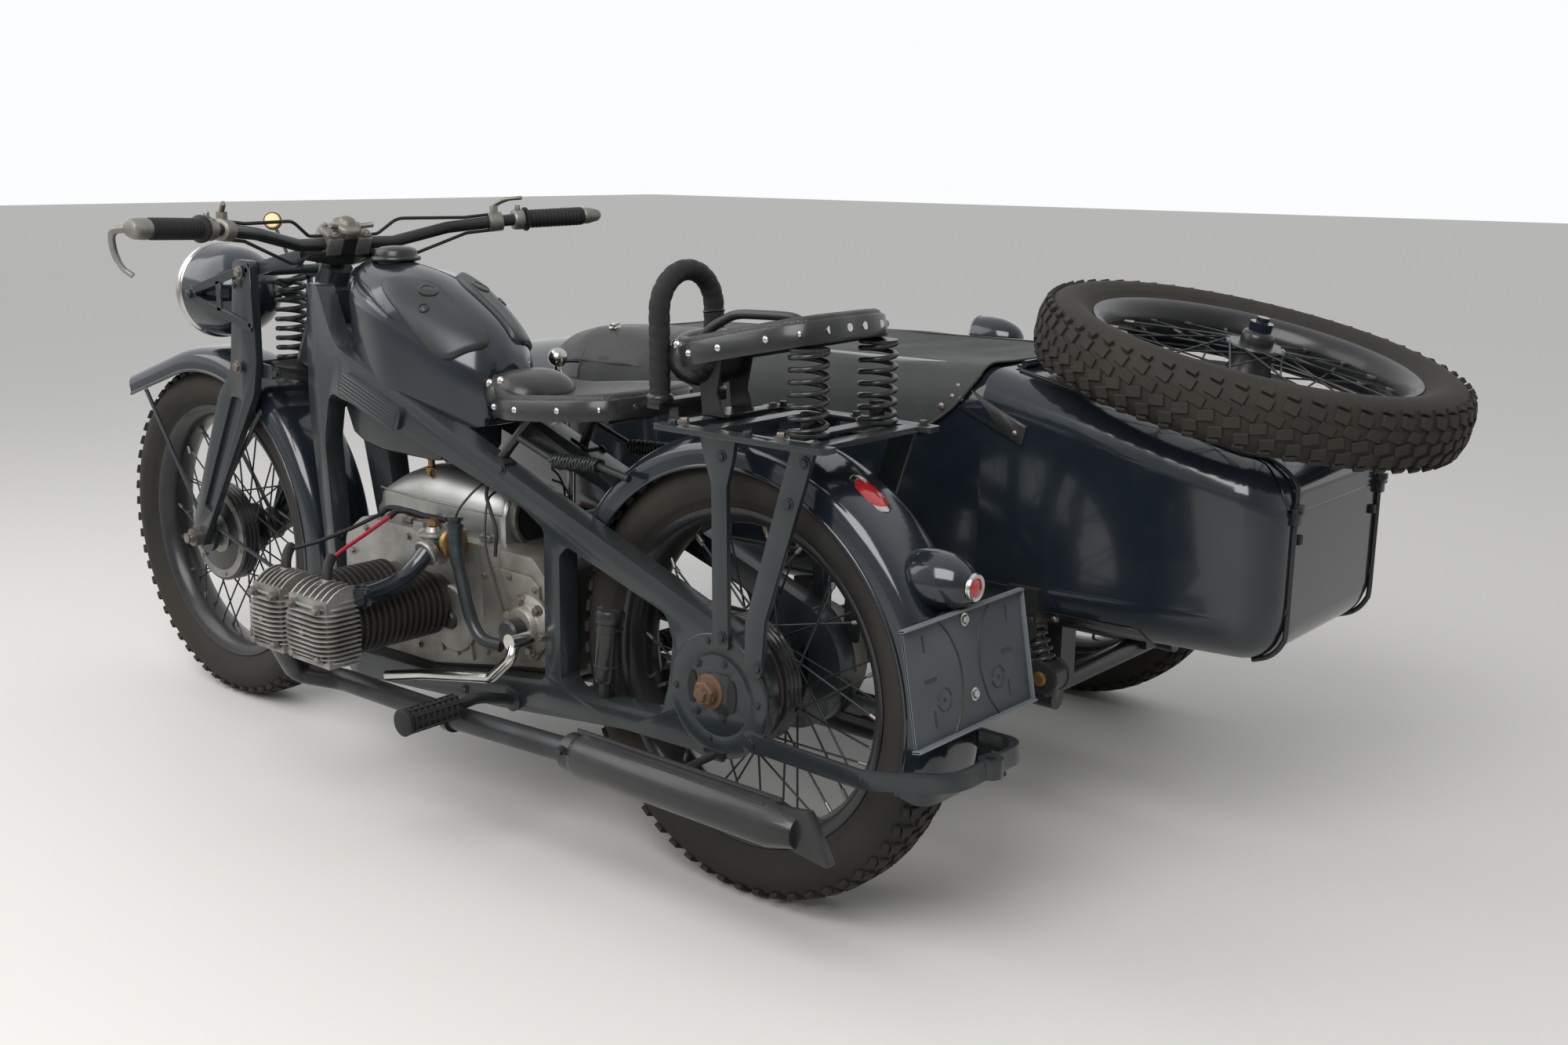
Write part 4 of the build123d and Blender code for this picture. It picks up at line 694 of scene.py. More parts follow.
@dataclass
class Wheel:
    """One spoked wheel with its block-tread tyre.

    Attributes:
        name: the wheel's name in the frame.
        body: the body it rides on.
        place: the matrix from the wheel's millimetres, its axle along Y, to the row frame.
        tyre_r: the tyre's radius.
        tyre_half: half the tyre's width.
        rim_r: the rim's radius.
        rim_half: half the rim's width.
        blocks: the tread blocks in one row.
        spokes: the spokes to one flange.
    """

    name: str
    body: str
    place: Matrix
    tyre_r: float = 342.0
    tyre_half: float = 54.0
    rim_r: float = 255.0
    rim_half: float = 36.0
    blocks: int = 58
    spokes: int = 20

    def build(self) -> None:
        """Makes the tyre, the rim, the spokes, the hub and the drum."""
        self._tyre()
        self._rim()
        self._spokes()
        self._hub()

    def _tyre(self) -> None:
        """Makes the casing and four rows of tread blocks."""
        r, half = self.tyre_r, self.tyre_half
        outer = [(r - 5, 0), (r - 5.5, 14), (r - 8, 26), (r - 13, 37), (r - 22, 46), (r - 34, 52), (r - 46, half),
                 (r - 58, 52), (r - 66, 47.5), (r - 70, 46.2), (r - 73, 43.5), (r - 80, 38), (r - 87, 34),
                 (r - 93, 31)]
        section = outer + [(r - 93, -31)] + [(a, -b) for a, b in reversed(outer[1:-1])]
        form = Form(self.place)
        form.hoop(section, steps=128)
        for y, width, phase, lean, length, depth in (
                (9.0, 15.5, 0.0, 0.0, 24.0, 3.4), (28.5, 17.0, 0.5, 17.0, 21.0, 6.4),
                (43.5, 9.0, 0.5, 44.0, 17.0, 12.5)):
            for side, k in itertools.product((1, -1), range(self.blocks)):
                shift = phase if side > 0 else 0.5 - phase
                around = Matrix.Rotation(-2 * math.pi * (k + shift) / self.blocks, 4, "Y")
                outward = Matrix.Translation((r - depth - 1.5, side * y, 0))
                lean_out = Matrix.Rotation(math.radians(side * lean), 4, "Z")
                skew = Matrix.Rotation(math.radians(side * 14.0), 4, "X")
                size = Matrix.Diagonal((7.0, width, length, 1.0))
                matrix = self.place @ around @ outward @ lean_out @ skew @ size
                bmesh.ops.create_cube(form.shape, size=1.0, matrix=matrix)
        form.build(f"{self.name}_tyre_dressed", TYRE_RUBBER, self.body, (f"{self.name}_tyre",), 28.0, 0.8, 1)

    def _rim(self) -> None:
        """Makes the rolled rim."""
        r, half = self.rim_r, self.rim_half
        outer = [(r, half - 3), (r + 3, half - 1), (r + 2.5, half + 2), (r - 2, half + 2.5), (r - 9, half - 1),
                 (r - 14, half - 4), (r - 19, half - 10), (r - 24, 15), (r - 26, 8), (r - 26, 0)]
        inner = [(r - 22, 0), (r - 22, 8), (r - 18, 18), (r - 12, 29), (r - 4, 31)]
        back = [(a, -b) for a, b in reversed(outer[:-1])]
        section = outer + back + [(a, -b) for a, b in reversed(inner[1:])] + inner
        form = Form(self.place)
        form.hoop(section, steps=96)
        form.build(f"{self.name}_rim_dressed", DARK_ENAMEL, self.body, (f"{self.name}_wheel_rim",), 50.0)

    def _spokes(self) -> None:
        """Laces crossed spokes with nipples to both flanges."""
        form, nipples = Form(self.place), Form(self.place)
        for flange_r, flange_y, rim_y in ((43.0, -35.0, -7.0), (95.0, 24.0, 7.0)):
            for k in range(self.spokes):
                lean = math.radians(62.0 if k % 2 else -62.0) * (0.55 if flange_r > 50 else 1.0)
                around = 2 * math.pi * (k + (0.25 if rim_y > 0 else 0.0)) / self.spokes
                y = flange_y + (2.6 if k % 2 else -2.6)
                foot = Vector((flange_r * math.cos(around + lean), y, flange_r * math.sin(around + lean)))
                head = Vector(((self.rim_r - 26) * math.cos(around), rim_y, (self.rim_r - 26) * math.sin(around)))
                form.rod(foot, head, 1.7, 8)
                nipples.rod(head - (head - foot).normalized() * 16, head, 3.2, 8)
        form.build(f"{self.name}_spokes", DARK_STEEL, self.body, angle=60.0)
        nipples.build(f"{self.name}_nipples", BARE_STEEL, self.body, angle=60.0)

    def _hub(self) -> None:
        """Makes the hub shell, its flange and the ribbed brake drum."""
        form = Form(self.place)
        form.turn([(11, -60), (20, -60), (24, -57), (26, -52), (26, -39), (46, -38), (47.5, -35), (46, -32), (28, -31),
                   (30, -20), (34, 0), (40, 15), (90, 17), (98, 19), (98, 22), (95, 24), (98, 27), (98, 31), (95, 33),
                   (98, 36), (98, 40), (95, 42), (98, 45), (98, 50), (92, 53)], (0, 0, 0), LEFT, 64)
        form.build(f"{self.name}_hub_dressed", DARK_ENAMEL, self.body)
        cover = Form(self.place)
        cover.turn([(93, 50), (92, 53), (80, 54.5), (74, 52), (40, 53), (34, 57), (24, 58), (18, 60), (11, 60)],
                   (0, 0, 0), LEFT, 64)
        for k in spread(6):
            cover.bolt((84 * math.cos(k + 0.3), 54, 84 * math.sin(k + 0.3)), LEFT, 4.0, 3.5)
        cover.build(f"{self.name}_drum_cover", CAST_ALLOY, self.body)


@dataclass
class Mudguard:
    """One deep mudguard with rolled edges.

    Attributes:
        node: the node it stands for.
        centre: the middle of its arc, in millimetres about the rear axle's ground point.
        crest: the arc's outer radius.
        start: its first angle in degrees.
        end: its last angle.
        tip: the straight run at its first end.
    """

    node: str
    centre: Point
    crest: float
    start: float
    end: float
    tip: float = 0.0

    def build(self) -> None:
        """Makes the channel and its rolled edges."""
        place = BIKE @ Matrix.Translation(self.centre)
        half = [(0, 0), (0, 14), (-0.4, 27), (-1.6, 39), (-4.4, 50), (-9.5, 59), (-17, 64.5), (-28, 66.6), (-46, 67)]
        inner = [(-46, 64), (-28, 63.6), (-18, 61.5), (-11.5, 56.5), (-7, 48.5), (-4.6, 38), (-3.4, 26), (-3, 14)]
        left = half[1:] + inner
        section = [(self.crest + d, y) for d, y in [half[0], *left, (-3, 0), *[(d, -y) for d, y in reversed(left)]]]
        form = Form(place)
        form.hoop(section, self.start, self.end, 72, self.tip)
        for side in (-1, 1):
            ring = [(self.crest - 45 + 3.4 * math.cos(k), side * 66.4 + 3.4 * math.sin(k)) for k in spread(8)]
            form.hoop(ring, self.start, self.end, 72, self.tip)
        form.build(f"{self.node}_dressed", BODY_ENAMEL, BODY_OF[self.node], (self.node,), 50.0)


@dataclass
class Tank:
    """The fuel tank with its sump, knee pads, filler cap and tap.

    Attributes:
        rows: stations of x, low half width, top half width, foot, shoulder and crown height.
    """

    rows: tuple[tuple[float, ...], ...] = (
        (545, 30, 14, 676, 716, 756), (556, 56, 32, 657, 718, 784), (599, 86, 46, 659, 748, 826),
        (687, 108, 56, 692, 798, 874), (760, 116, 58, 719, 826, 900), (862, 88, 50, 758, 840, 915),
        (897, 60, 42, 778, 846, 911), (932, 44, 26, 800, 850, 904), (940, 34, 16, 812, 850, 894))

    def build(self) -> None:
        """Makes every piece of the tank."""
        self._shell()
        self._pads()
        self._cap()
        self._tap()

    def _stations(self) -> list[list[float]]:
        """The rows with smooth stations between them."""
        upper = smooth_path([(row[0], row[1], row[2]) for row in self.rows], 6)
        lower = smooth_path([(row[3], row[4], row[5]) for row in self.rows], 6)
        return [[*a, *b] for a, b in zip(upper, lower)]

    @staticmethod
    def _half_ring(row: Sequence[float]) -> list[tuple[float, float]]:
        """The left half of one station as rows of y and z, from the foot up to the crown."""
        _, wide, narrow, foot, shoulder, high = row
        arc = [(wide * math.cos(k), shoulder + (high - shoulder) * math.sin(k)) for k in spread(10, 90.0)]
        mixed = [(0.65 * y + 0.35 * narrow * (1 - n / 10) if n > 6 else y, z) for n, (y, z) in enumerate(arc)]
        side = [(wide * (0.94 + 0.06 * t), foot + (shoulder - foot) * t) for t in (0.0, 0.25, 0.5, 0.75)]
        return [(wide * 0.5, foot - 1), *side, *mixed]

    def _shell(self) -> None:
        """Makes the tank's shell and sump."""
        rings = []
        for row in self._stations():
            half = self._half_ring(row)
            rings.append([(row[0], y, z) for y, z in half] + [(row[0], -y, z) for y, z in reversed(half)])
        form = Form()
        form.skin(rings)
        form.build("tank_shell", BODY_ENAMEL, "chassis", ("fuel_tank",), 50.0)
        sump = Form()
        sump.plate([(640, 690), (648, 600), (662, 586), (690, 583), (822, 583), (880, 592), (910, 606), (930, 650),
                    (934, 800), (700, 740)], -63, 63)
        sump.build("tank_sump", FRAME_ENAMEL, angle=25.0, bevel=9.0, segments=3)

    def _spot(self, x: float, part: float) -> Vector:
        """The shell's surface at x, part counting the points of the half ring from the foot up."""
        rows = self._stations()
        first, second = next((a, b) for a, b in zip(rows, rows[1:]) if b[0] >= x or b is rows[-1])
        share = (x - first[0]) / (second[0] - first[0])
        half = self._half_ring(between(first, second, share))
        low = min(int(part), len(half) - 2)
        return Vector((x, *between(*half[low:low + 2], part - low)))

    def _pads(self) -> None:
        """Makes the rubber knee pads as thick patches with soft rims, laid on the tank's flanks."""
        form = Form()
        # The corners as x and the place on the half ring, from the low front corner over the crown
        corners, count, rings = ((794, 9.8), (704, 13.2), (553, 12.4), (606, 4.8)), 26, []
        for i in range(count + 1):
            ring = []
            for j in range(count + 1):
                u, v = (0.5 - 0.5 * math.cos(math.pi * n / count) for n in (i, j))
                edge = min(1.0, (abs(2 * u - 1) ** 7 + abs(2 * v - 1) ** 7) ** (1 / 7))
                shrink = 1.0 - 0.16 * (abs(2 * u - 1) * abs(2 * v - 1)) ** 4
                u, v = 0.5 + (u - 0.5) * shrink, 0.5 + (v - 0.5) * shrink
                x, part = ((corners[0][k] * (1 - u) + corners[1][k] * u) * (1 - v) +
                           (corners[3][k] * (1 - u) + corners[2][k] * u) * v for k in (0, 1))
                spot = self._spot(x, part)
                ahead, above = self._spot(x + 3, part) - spot, self._spot(x, part + 0.2) - spot
                lift = -1.5 + 9.5 * min(1.0, (1 - edge) * 14) ** 0.5
                ring.append(spot + above.cross(ahead).normalized() * lift)
            rings.append(ring)
        form.skin(rings, closed=False)
        form.both_sides().build("pads_dressed", KNEE_RUBBER, "chassis", ("knee_pads",), 60.0)
        emblem = Form()
        for x, part, size in ((690, 11.4, 1.0), (668, 9.6, 0.55)):
            spot = self._spot(x, part)
            out = (self._spot(x, part + 0.2) - spot).cross(self._spot(x + 3, part) - spot).normalized()
            emblem.turn([(17 * size, 5), (17 * size, 9.4), (15 * size, 10.4), (13.5 * size, 10.4), (12.5 * size, 9),
                         (6 * size, 9.4), (0, 10.6)], spot, out)
        emblem.both_sides().build("tank_roundels", DARK_ENAMEL)

    @staticmethod
    def _cap() -> None:
        """Makes the domed filler cap on its neck."""
        cap = Form()
        cap.turn([(33, -8), (33, 2), (42, 4), (43.5, 7), (42, 10), (37, 12), (36, 20), (33, 24), (24, 27.5), (12, 29),
                  (0, 29.5)], (846, 0, 906), (0.02, 0, 1), 40)
        cap.build("cap_dressed", DARK_ENAMEL, "chassis", ("filler_cap",))

    @staticmethod
    def _tap() -> None:
        """Makes the fuel tap under the sump with its silver bowl."""
        brass, bowl = Form(), Form()
        brass.turn([(10, 0), (10, -6), (6, -8), (6, -20), (11, -21), (11, -36), (8, -38)], (735, 26, 583), UP, 16)
        brass.rod((735, 26, 554), (716, 44, 556), 4.5, 12)
        brass.box((4, 16, 7), (713, 47, 556), (0, 0, 40))
        brass.build("fuel_tap", BRASS, bevel=0.5)
        bowl.turn([(8, -36), (15, -38), (15, -44), (13, -46), (13, -62), (10, -66), (0, -67)], (735, 26, 583), UP, 24)
        bowl.build("tap_bowl", BRIGHT_METAL)


@dataclass
class Saddle:
    """One sprung saddle: a padded top inside a riveted band.

    Attributes:
        node: the node it stands for.
        front: x of its nose.
        under: height of its underside at the nose.
        tilt: its slope up to the rear in degrees.
        length: from the nose to the rear.
        nose: half width at the nose.
        wide: the largest half width.
        band: the band's height.
        dish: how far the middle lies below the rim.
        rise: how far the nose rises over the rim.
        rivets: the places of the band's rivets, as parts of its half outline.
    """

    node: str
    front: float
    under: float
    tilt: float
    length: float
    nose: float
    wide: float
    band: float
    dish: float
    rise: float
    rivets: tuple[float, ...]

    def _outline(self) -> list[tuple[float, float]]:
        """The plan as rows of distance behind the nose and y, round from the nose's middle."""
        length, wide = self.length, self.wide
        half = curved([(0, 0), (2, self.nose * 0.6), (14, self.nose), (length * 0.28, wide * 0.88),
                       (length * 0.5, wide), (length * 0.78, wide * 0.99), (length * 0.94, wide * 0.8),
                       (length, wide * 0.4), (length, 0)], 8)
        return half + [(x, -y) for x, y in reversed(half[1:-1])]

    def _place(self) -> Matrix:
        """The matrix from the saddle's own millimetres to the row frame."""
        turn = Matrix.Rotation(math.radians(self.tilt), 4, "Y")
        return BIKE @ Matrix.Translation((self.front, 0, self.under)) @ turn

    def build(self) -> None:
        """Makes the band, its rivets and the padded top."""
        plan, place, centre = self._outline(), self._place(), self.length * 0.52
        band = Form(place)
        levels = ((1.0, 0.0), (1.006, 3.0), (1.006, self.band - 3), (0.985, self.band), (0.96, self.band - 2),
                  (0.95, 2.0))
        rings = [[(-centre - (d - centre) * grow, y * grow, z) for d, y in plan] for grow, z in levels]
        band.skin([*rings, rings[0]], caps=False)
        band.build(f"{self.node}_band", DARK_ENAMEL, angle=50.0)
        top = Form(place)
        rings = []
        for part, level in ((0.98, 4.0), (0.975, self.band - 2), (0.965, self.band + 4), (0.93, self.band + 7.5),
                            (0.85, self.band + 7), (0.68, self.band + 4), (0.45, self.band + 1),
                            (0.2, self.band - 0.5), (0.02, self.band - 1)):
            ring = []
            for d, y in plan:
                back = centre + (d - centre) * part
                lift = self.rise * max(0.0, 1 - back / (self.length * 0.32)) ** 2
                sink = self.dish * (1 - part) ** 0.7 if part < 0.9 else 0.0
                ring.append((-back, y * part, max(level, 4.0) + (lift - sink if level > 10 else 0.0)))
            rings.append(ring)
        top.skin(rings)
        leather = top.build(f"{self.node}_leather", SEAT_LEATHER, "chassis", (self.node,), 60.0)
        studs = Form(place)
        for part in self.rivets:
            index = round(part * (len(plan) // 2))
            d, y = plan[index]
            after, before = plan[index + 1], plan[index - 1]
            outward = Vector((before[1] - after[1], after[0] - before[0], 0)).normalized()
            for side in (1, -1):
                spot = (-centre - (d - centre) * 1.006, side * y * 1.006, self.band * 0.52)
                studs.dome(spot, (outward.x, side * outward.y, 0), 5.6, 3.4)
        studs.build(f"{self.node}_rivets", BRIGHT_METAL)


def helix(form: Form, start: Point, end: Point, radius: float, wire: float, turns: float) -> None:
    """Adds an open coil spring between two points.

    Args:
        form: the form that takes it.
        start: the low end.
        end: the high end.
        radius: the coil's middle radius.
        wire: the wire's radius.
        turns: the number of turns.
    """
    low, high = Vector(start), Vector(end)
    axis = (high - low).normalized()
    first = axis.orthogonal().normalized()
    second = axis.cross(first)
    count = int(turns * 20)
    path = []
    for n in range(count + 1):
        k = 2 * math.pi * turns * n / count
        path.append(low + (high - low) * n / count + (first * math.cos(k) + second * math.sin(k)) * radius)
    form.sweep(path, wire, 8)


def springs() -> None:
    """Makes the open springs of the pillion and of the fork, and the pillion's bracket."""
    form = Form()
    for y in (-76, 76):
        helix(form, (-150, y, 734), (-150, y, 842), 25, 4, 6.5)
        form.rod((-150, y, 725), (-150, y, 760), 11, 16)
        form.turn([(30, 0), (30, 5), (12, 7)], (-150, y, 729), UP, 24)
        form.turn([(28, 0), (28, -5), (12, -7)], (-150, y, 846), UP, 24)
    form.box((26, 200, 6), (-150, 0, 728))
    for low in (-34, 29):
        form.plate([(84, 726), (92, 790), (74, 812), (44, 812), (56, 760), (40, 726)], low, low + 5)
    form.box((54, 60, 5), (62, 0, 728))
    form.box((60, 78, 26), (106, 0, 808), (0, 12, 0))
    form.build("pillion_springs_dressed", DARK_ENAMEL, "chassis", ("pillion_springs",), 40.0, 0.8, 1)
    bright = Form()
    for y in (-22, 22):
        bright.bolt((128, y, 820), (0.9, 0, 0.44), 6.0, 5.0)
    for x in (60, -120):
        for y in (-96, 96):
            bright.bolt((x, y, 725), UP, 6.5, 7.0)
    bright.build("pillion_bolts", BARE_STEEL)
    fork = Form()
    helix(fork, (1182, 0, 712), (1177, 0, 864), 26, 4.6, 8.5)
    fork.build("fork_spring_dressed", DARK_STEEL, "steering", ("fork_spring",))


@dataclass
class Engine:
    """The finned heads, the top cover and the engine's fittings.

    Attributes:
        heads: x and half length of each head.
        out: y of the heads' outer face.
    """

    heads: tuple[tuple[float, float], ...] = ((643.0, 62.0), (758.0, 50.0))
    out: float = 362.0

    def build(self) -> None:
        """Makes every piece of the engine that the node shapes lack."""
        softened("engine_case", 5.0, 30.0)
        self._cover()
        self._heads()
        self._gearbox()
        self._carburettors()
        self._leads()

    @staticmethod
    def _cover() -> None:
        """Makes the long top cover with its seam, its bolts, and a black disc of painted shade in its intake ring."""
        rows = smooth_path([(500, 61, 556), (508, 65, 564), (540, 67, 568), (640, 67, 571), (720, 66, 568),
                            (800, 61, 546), (850, 52, 512), (876, 40, 484)], 4)
        rings = []
        for x, half, high in rows:
            base = 505 if high > 520 else 470
            arc = [(x, half * math.cos(k), base + (high - base) * math.sin(k)) for k in spread(20, 180.0)]
            rings.append([(x, half, 468), *arc, (x, -half, 468)])
        form = Form()
        form.skin(rings)
        form.build("top_cover_dressed", COVER_ALLOY, "chassis", ("top_cover",))
        trim = Form()
        trim.turn([(44, 4), (44, -14), (48, -18), (54, -17), (56, -12), (56, 4), (50, 6)], (502, 0, 508), AHEAD, 48)
        seam = [(506, 66, 516), (560, 67.6, 516), (640, 67.8, 516), (720, 67, 516), (800, 62, 516), (846, 53.5, 516)]
        trim.sweep(smooth_path(seam, 4), 1.6, 8)
        for x in (540, 610, 680, 750):
            trim.box((26, 12, 10), (x, 68, 474))
            trim.bolt((x, 71, 479), UP, 5.0, 5.0)
        trim.both_sides().build("cover_trim", CAST_ALLOY, bevel=0.8, segments=1)
        # A black disc painted as the shade inside the intake ring
        dark = Form()
        dark.turn([(45, 0), (45, 3), (0, 3), (0, 0)], (493, 0, 508), AHEAD, 40)
        dark.build("intake_painted_shade", BLACK_RUBBER)

    def _heads(self) -> None:
        """Makes the heads' level and upright fins, their nuts and their plug bodies."""
        form, nuts = Form(), Form()
        for x, half in self.heads:
            form.box((2 * half - 22, 52, 108), (x, 320, 355))
            for k in range(14):
                low = 300 + 7.9 * k
                pinch = abs(k / 6.5 - 1) ** 3.5
                form.skin([self._fin(x, half - 9 * pinch - inset, self.out - 20 * pinch - inset, z) for z, inset in
                           ((low, 1.2), (low + 0.8, 0), (low + 2.6, 0), (low + 3.4, 1.2))])
            for k in range(7):
                place = x - half + 12 + k * (2 * half - 27) / 6
                form.skin([[(place + d, y, z) for d, z in ((0, 404), (3.2, 404), (3.2, high), (0, high))]
                           for y, high in ((292, 428), (304, 429), (318, 426), (330, 420), (340, 412), (346, 405))])
            for dx, z in ((-34, 316), (34, 316), (-34, 396), (34, 396), (0, 356)):
                nuts.bolt((x + dx * half / 62, self.out - 10, z), LEFT, 6.5, 9.0)
            nuts.turn([(13, 0), (13, 4), (9, 6), (9, 12)], (x + 12, 306, 416), (0, -0.41, 0.91), 6)
        form.both_sides().build("heads_dressed", FIN_ALLOY, "chassis", ("cylinder_heads",))
        nuts.both_sides().build("head_nuts", BARE_STEEL)

    @staticmethod
    def _fin(x: float, half: float, out: float, z: float) -> list[tuple[float, float, float]]:
        """One level outline of a head: square at the barrel, rounded outside."""
        ring = [(x - half, 292, z), (x + half, 292, z)]
        for side, start in ((1, 0), (-1, 90)):
            for n in range(9):
                k = math.radians(start + 90 * n / 8)
                ring.append((x + side * (half - 30) + 30 * math.cos(k), out - 30 + 30 * math.sin(k), z))
        return ring

    @staticmethod
    def _leads() -> None:
        """Makes the plug caps and the leads; the rear head's lead is red."""
        dark, red = Form(), Form()
        for x, way, lead in ((655, 1.0, red), (770, -2.4, dark)):
            dark.sweep(smooth_path([(x, 300, 420), (x + 6, 296, 436), (x + 18, 284, 447), (x + 30, 270, 453)], 5),
                       8.5, 14)
            plug, near = x + 24, x + 24 + 26 * way
            lead.sweep(smooth_path([(plug, 278, 450), (plug + 12 * way, 240, 462), (plug + 20 * way, 190, 478),
                                    (near, 138, 497)], 6), 3.4, 12)
            dark.sweep(smooth_path([(near, 140, 496), (near, 124, 504), (near - 14, 110, 503), (near - 40, 92, 494),
                                    (near - 60, 70, 488)], 5), 5.5, 12)
        red.both_sides().build("red_leads", RED_CABLE, "chassis", ("plug_leads",), 60.0)
        dark.both_sides().build("plug_caps", BLACK_RUBBER, angle=60.0)

    @staticmethod
    def _carburettors() -> None:
        """Makes the carburettors, the curved intake pipes, the breather tubes and the wires."""
        pipe, alloy, brass, tube = Form(), Form(), Form(), Form()
        pipe.sweep(smooth_path([(586, 140, 466), (586, 156, 458), (590, 176, 438), (590, 205, 420), (586, 245, 412),
                                (582, 294, 410)], 6), 15, 20)
        pipe.turn([(19, 0), (19, 6), (15, 8)], (582, 288, 410), (0, -1, 0), 24)
        alloy.turn([(21, 0), (23, 2), (23, 8), (19, 10), (18, 18)], (587, 160, 455), (0, -0.85, 0.4), 24)
        alloy.turn([(20, -34), (22, -30), (22, -6), (19, -2), (19, 10), (24, 12), (24, 18), (12, 20), (10, 28),
                    (0, 29)], (604, 128, 466), UP, 24)
        alloy.rod((640, 118, 470), (560, 118, 470), 17, 24)
        alloy.box((26, 26, 16), (648, 112, 486))
        brass.turn([(24, -4), (26, -2), (26, 6), (22, 8)], (566, 118, 470), (-1, 0, 0), 24)
        brass.turn([(10, 0), (10, 8), (7, 10), (0, 10)], (604, 128, 496), UP, 6)
        tube.sweep(smooth_path([(556, 120, 500), (552, 124, 476), (544, 127, 448), (522, 130, 386), (506, 130, 346),
                                (484, 128, 324), (450, 118, 318)], 5), [13] * 6 + [12.4] * 5 + [10.5] * 20, 20)
        tube.turn([(14, 0), (14, 5), (10, 7), (10, 10), (13, 11), (13, 17), (0, 18)], (556, 120, 499), (0.05, -0.1, 1),
                  20)
        wires = Form()
        for points in ([(556, 119, 514), (550, 112, 532), (540, 92, 556), (532, 70, 572)],
                       [(520, 60, 556), (516, 84, 540), (500, 104, 480), (478, 108, 430), (448, 112, 372)]):
            wires.sweep(smooth_path(points, 6), 2.0, 8)
        pipe.both_sides().build("intake_dressed", BODY_ENAMEL, "chassis", ("intake_pipes",), 60.0)
        alloy.both_sides().build("carburettors", CAST_ALLOY, angle=35.0, bevel=0.8)
        brass.both_sides().build("carburettor_nuts", BRASS)
        tube.both_sides().build("breather_tubes", FRAME_ENAMEL, angle=50.0)
        wires.both_sides().build("engine_wires", DARK_STEEL, angle=60.0)

    @staticmethod
    def _gearbox() -> None:
        """Makes the gearbox cover, its round housings, the ribs and the bolts on the left."""
        form, bolts, dark = Form(), Form(), Form()
        outline = [(380, 425), (374, 320), (392, 300), (470, 287), (520, 280), (520, 430), (480, 440), (400, 438)]
        form.plate(outline, 90, 98)
        form.turn([(50, 0), (50, 8), (44, 14), (34, 18), (30, 30), (0, 30)], (402, 92, 360), LEFT, 40)
        for k in spread(6):
            turned = k + math.pi / 12
            bolts.bolt((402 + 41 * math.cos(turned), 106, 360 + 41 * math.sin(turned)), LEFT, 7.0, 9.0)
        form.turn([(58, 0), (58, 8), (52, 12)], (600, 90, 330), LEFT, 40)
        for x in (560, 600, 640, 820, 860):
            form.box((5, 8, 70), (x, 93, 300), (0, 12, 0))
        for x, z in ((388, 418), (384, 340), (400, 306), (460, 296), (512, 290), (512, 422), (450, 430)):
            bolts.bolt((x, 98, z), LEFT, 4.6, 4.0)
        for x, z in ((700, 262), (780, 258), (850, 270), (880, 330), (884, 400), (840, 448), (720, 452), (600, 452)):
            bolts.bolt((x, 92, z), LEFT, 5.0, 5.0)
        dark.turn([(17, 0), (17, 8), (14, 12), (0, 13)], (600, 98, 330), LEFT, 24)
        dark.turn([(22, 0), (22, 26), (18, 30), (0, 31)], (402, 118, 354), LEFT, 28)
        form.build("gearbox_cover", CAST_ALLOY, angle=30.0, bevel=2.5)
        bolts.build("case_bolts", BARE_STEEL)
        dark.build("case_caps", DARK_STEEL)


def saddle_fittings() -> None:
    """Adds the saddles' nose covers with their bolts, the level springs and the pillion's rod handle."""
    nose, bolts, coils, rod = Form(), Form(), Form(), Form()
    for x, z, half, long, high in ((104, 806, 62, 48, 42), (500, 712, 74, 64, 40)):
        rings = []
        for n in range(17):
            y = half * math.sin(math.pi * (n / 16 - 0.5))
            size = max(1 - abs(y / half) ** 3.2, 0.002) ** 0.5
            rings.append([(x + long * size * math.cos(k), y, z + high * size * math.sin(k)) for k in spread(32)])
        nose.skin(rings)
    for x, y, z in ((116, 53, 826), (98, 52, 832), (530, 60, 730), (500, 62, 737)):
        for side in (1, -1):
            bolts.dome((x, side * y, z), (0, side, 0), 8.5, 5.0)
    for y in (-84, 84):
        line = [(352 - 104 * n / 90, y + 11 * math.cos(0.35 * math.pi * n),
                 630 + 5 * n / 90 + 11 * math.sin(0.35 * math.pi * n)) for n in range(91)]
        coils.sweep(line, 2.6, 8)
        coils.rod((430, y, 656), (348, y, 630), 6, 12)
        coils.rod((252, y, 635), (186, y, 624), 6, 12)
    rod.sweep(smooth_path([(92, 30, 836), (71, 24, 854), (44, 20, 869), (28, 18, 874), (0, 18, 876), (-70, 18, 877),
                           (-96, 18, 868)], 5), 7, 14)
    nose.build("saddle_noses", DARK_ENAMEL, angle=60.0)
    bolts.build("nose_bolts", BRIGHT_METAL, angle=60.0)
    coils.build("level_springs", DARK_STEEL, angle=60.0)
    rod.build("pillion_rod", DARK_ENAMEL, angle=60.0)


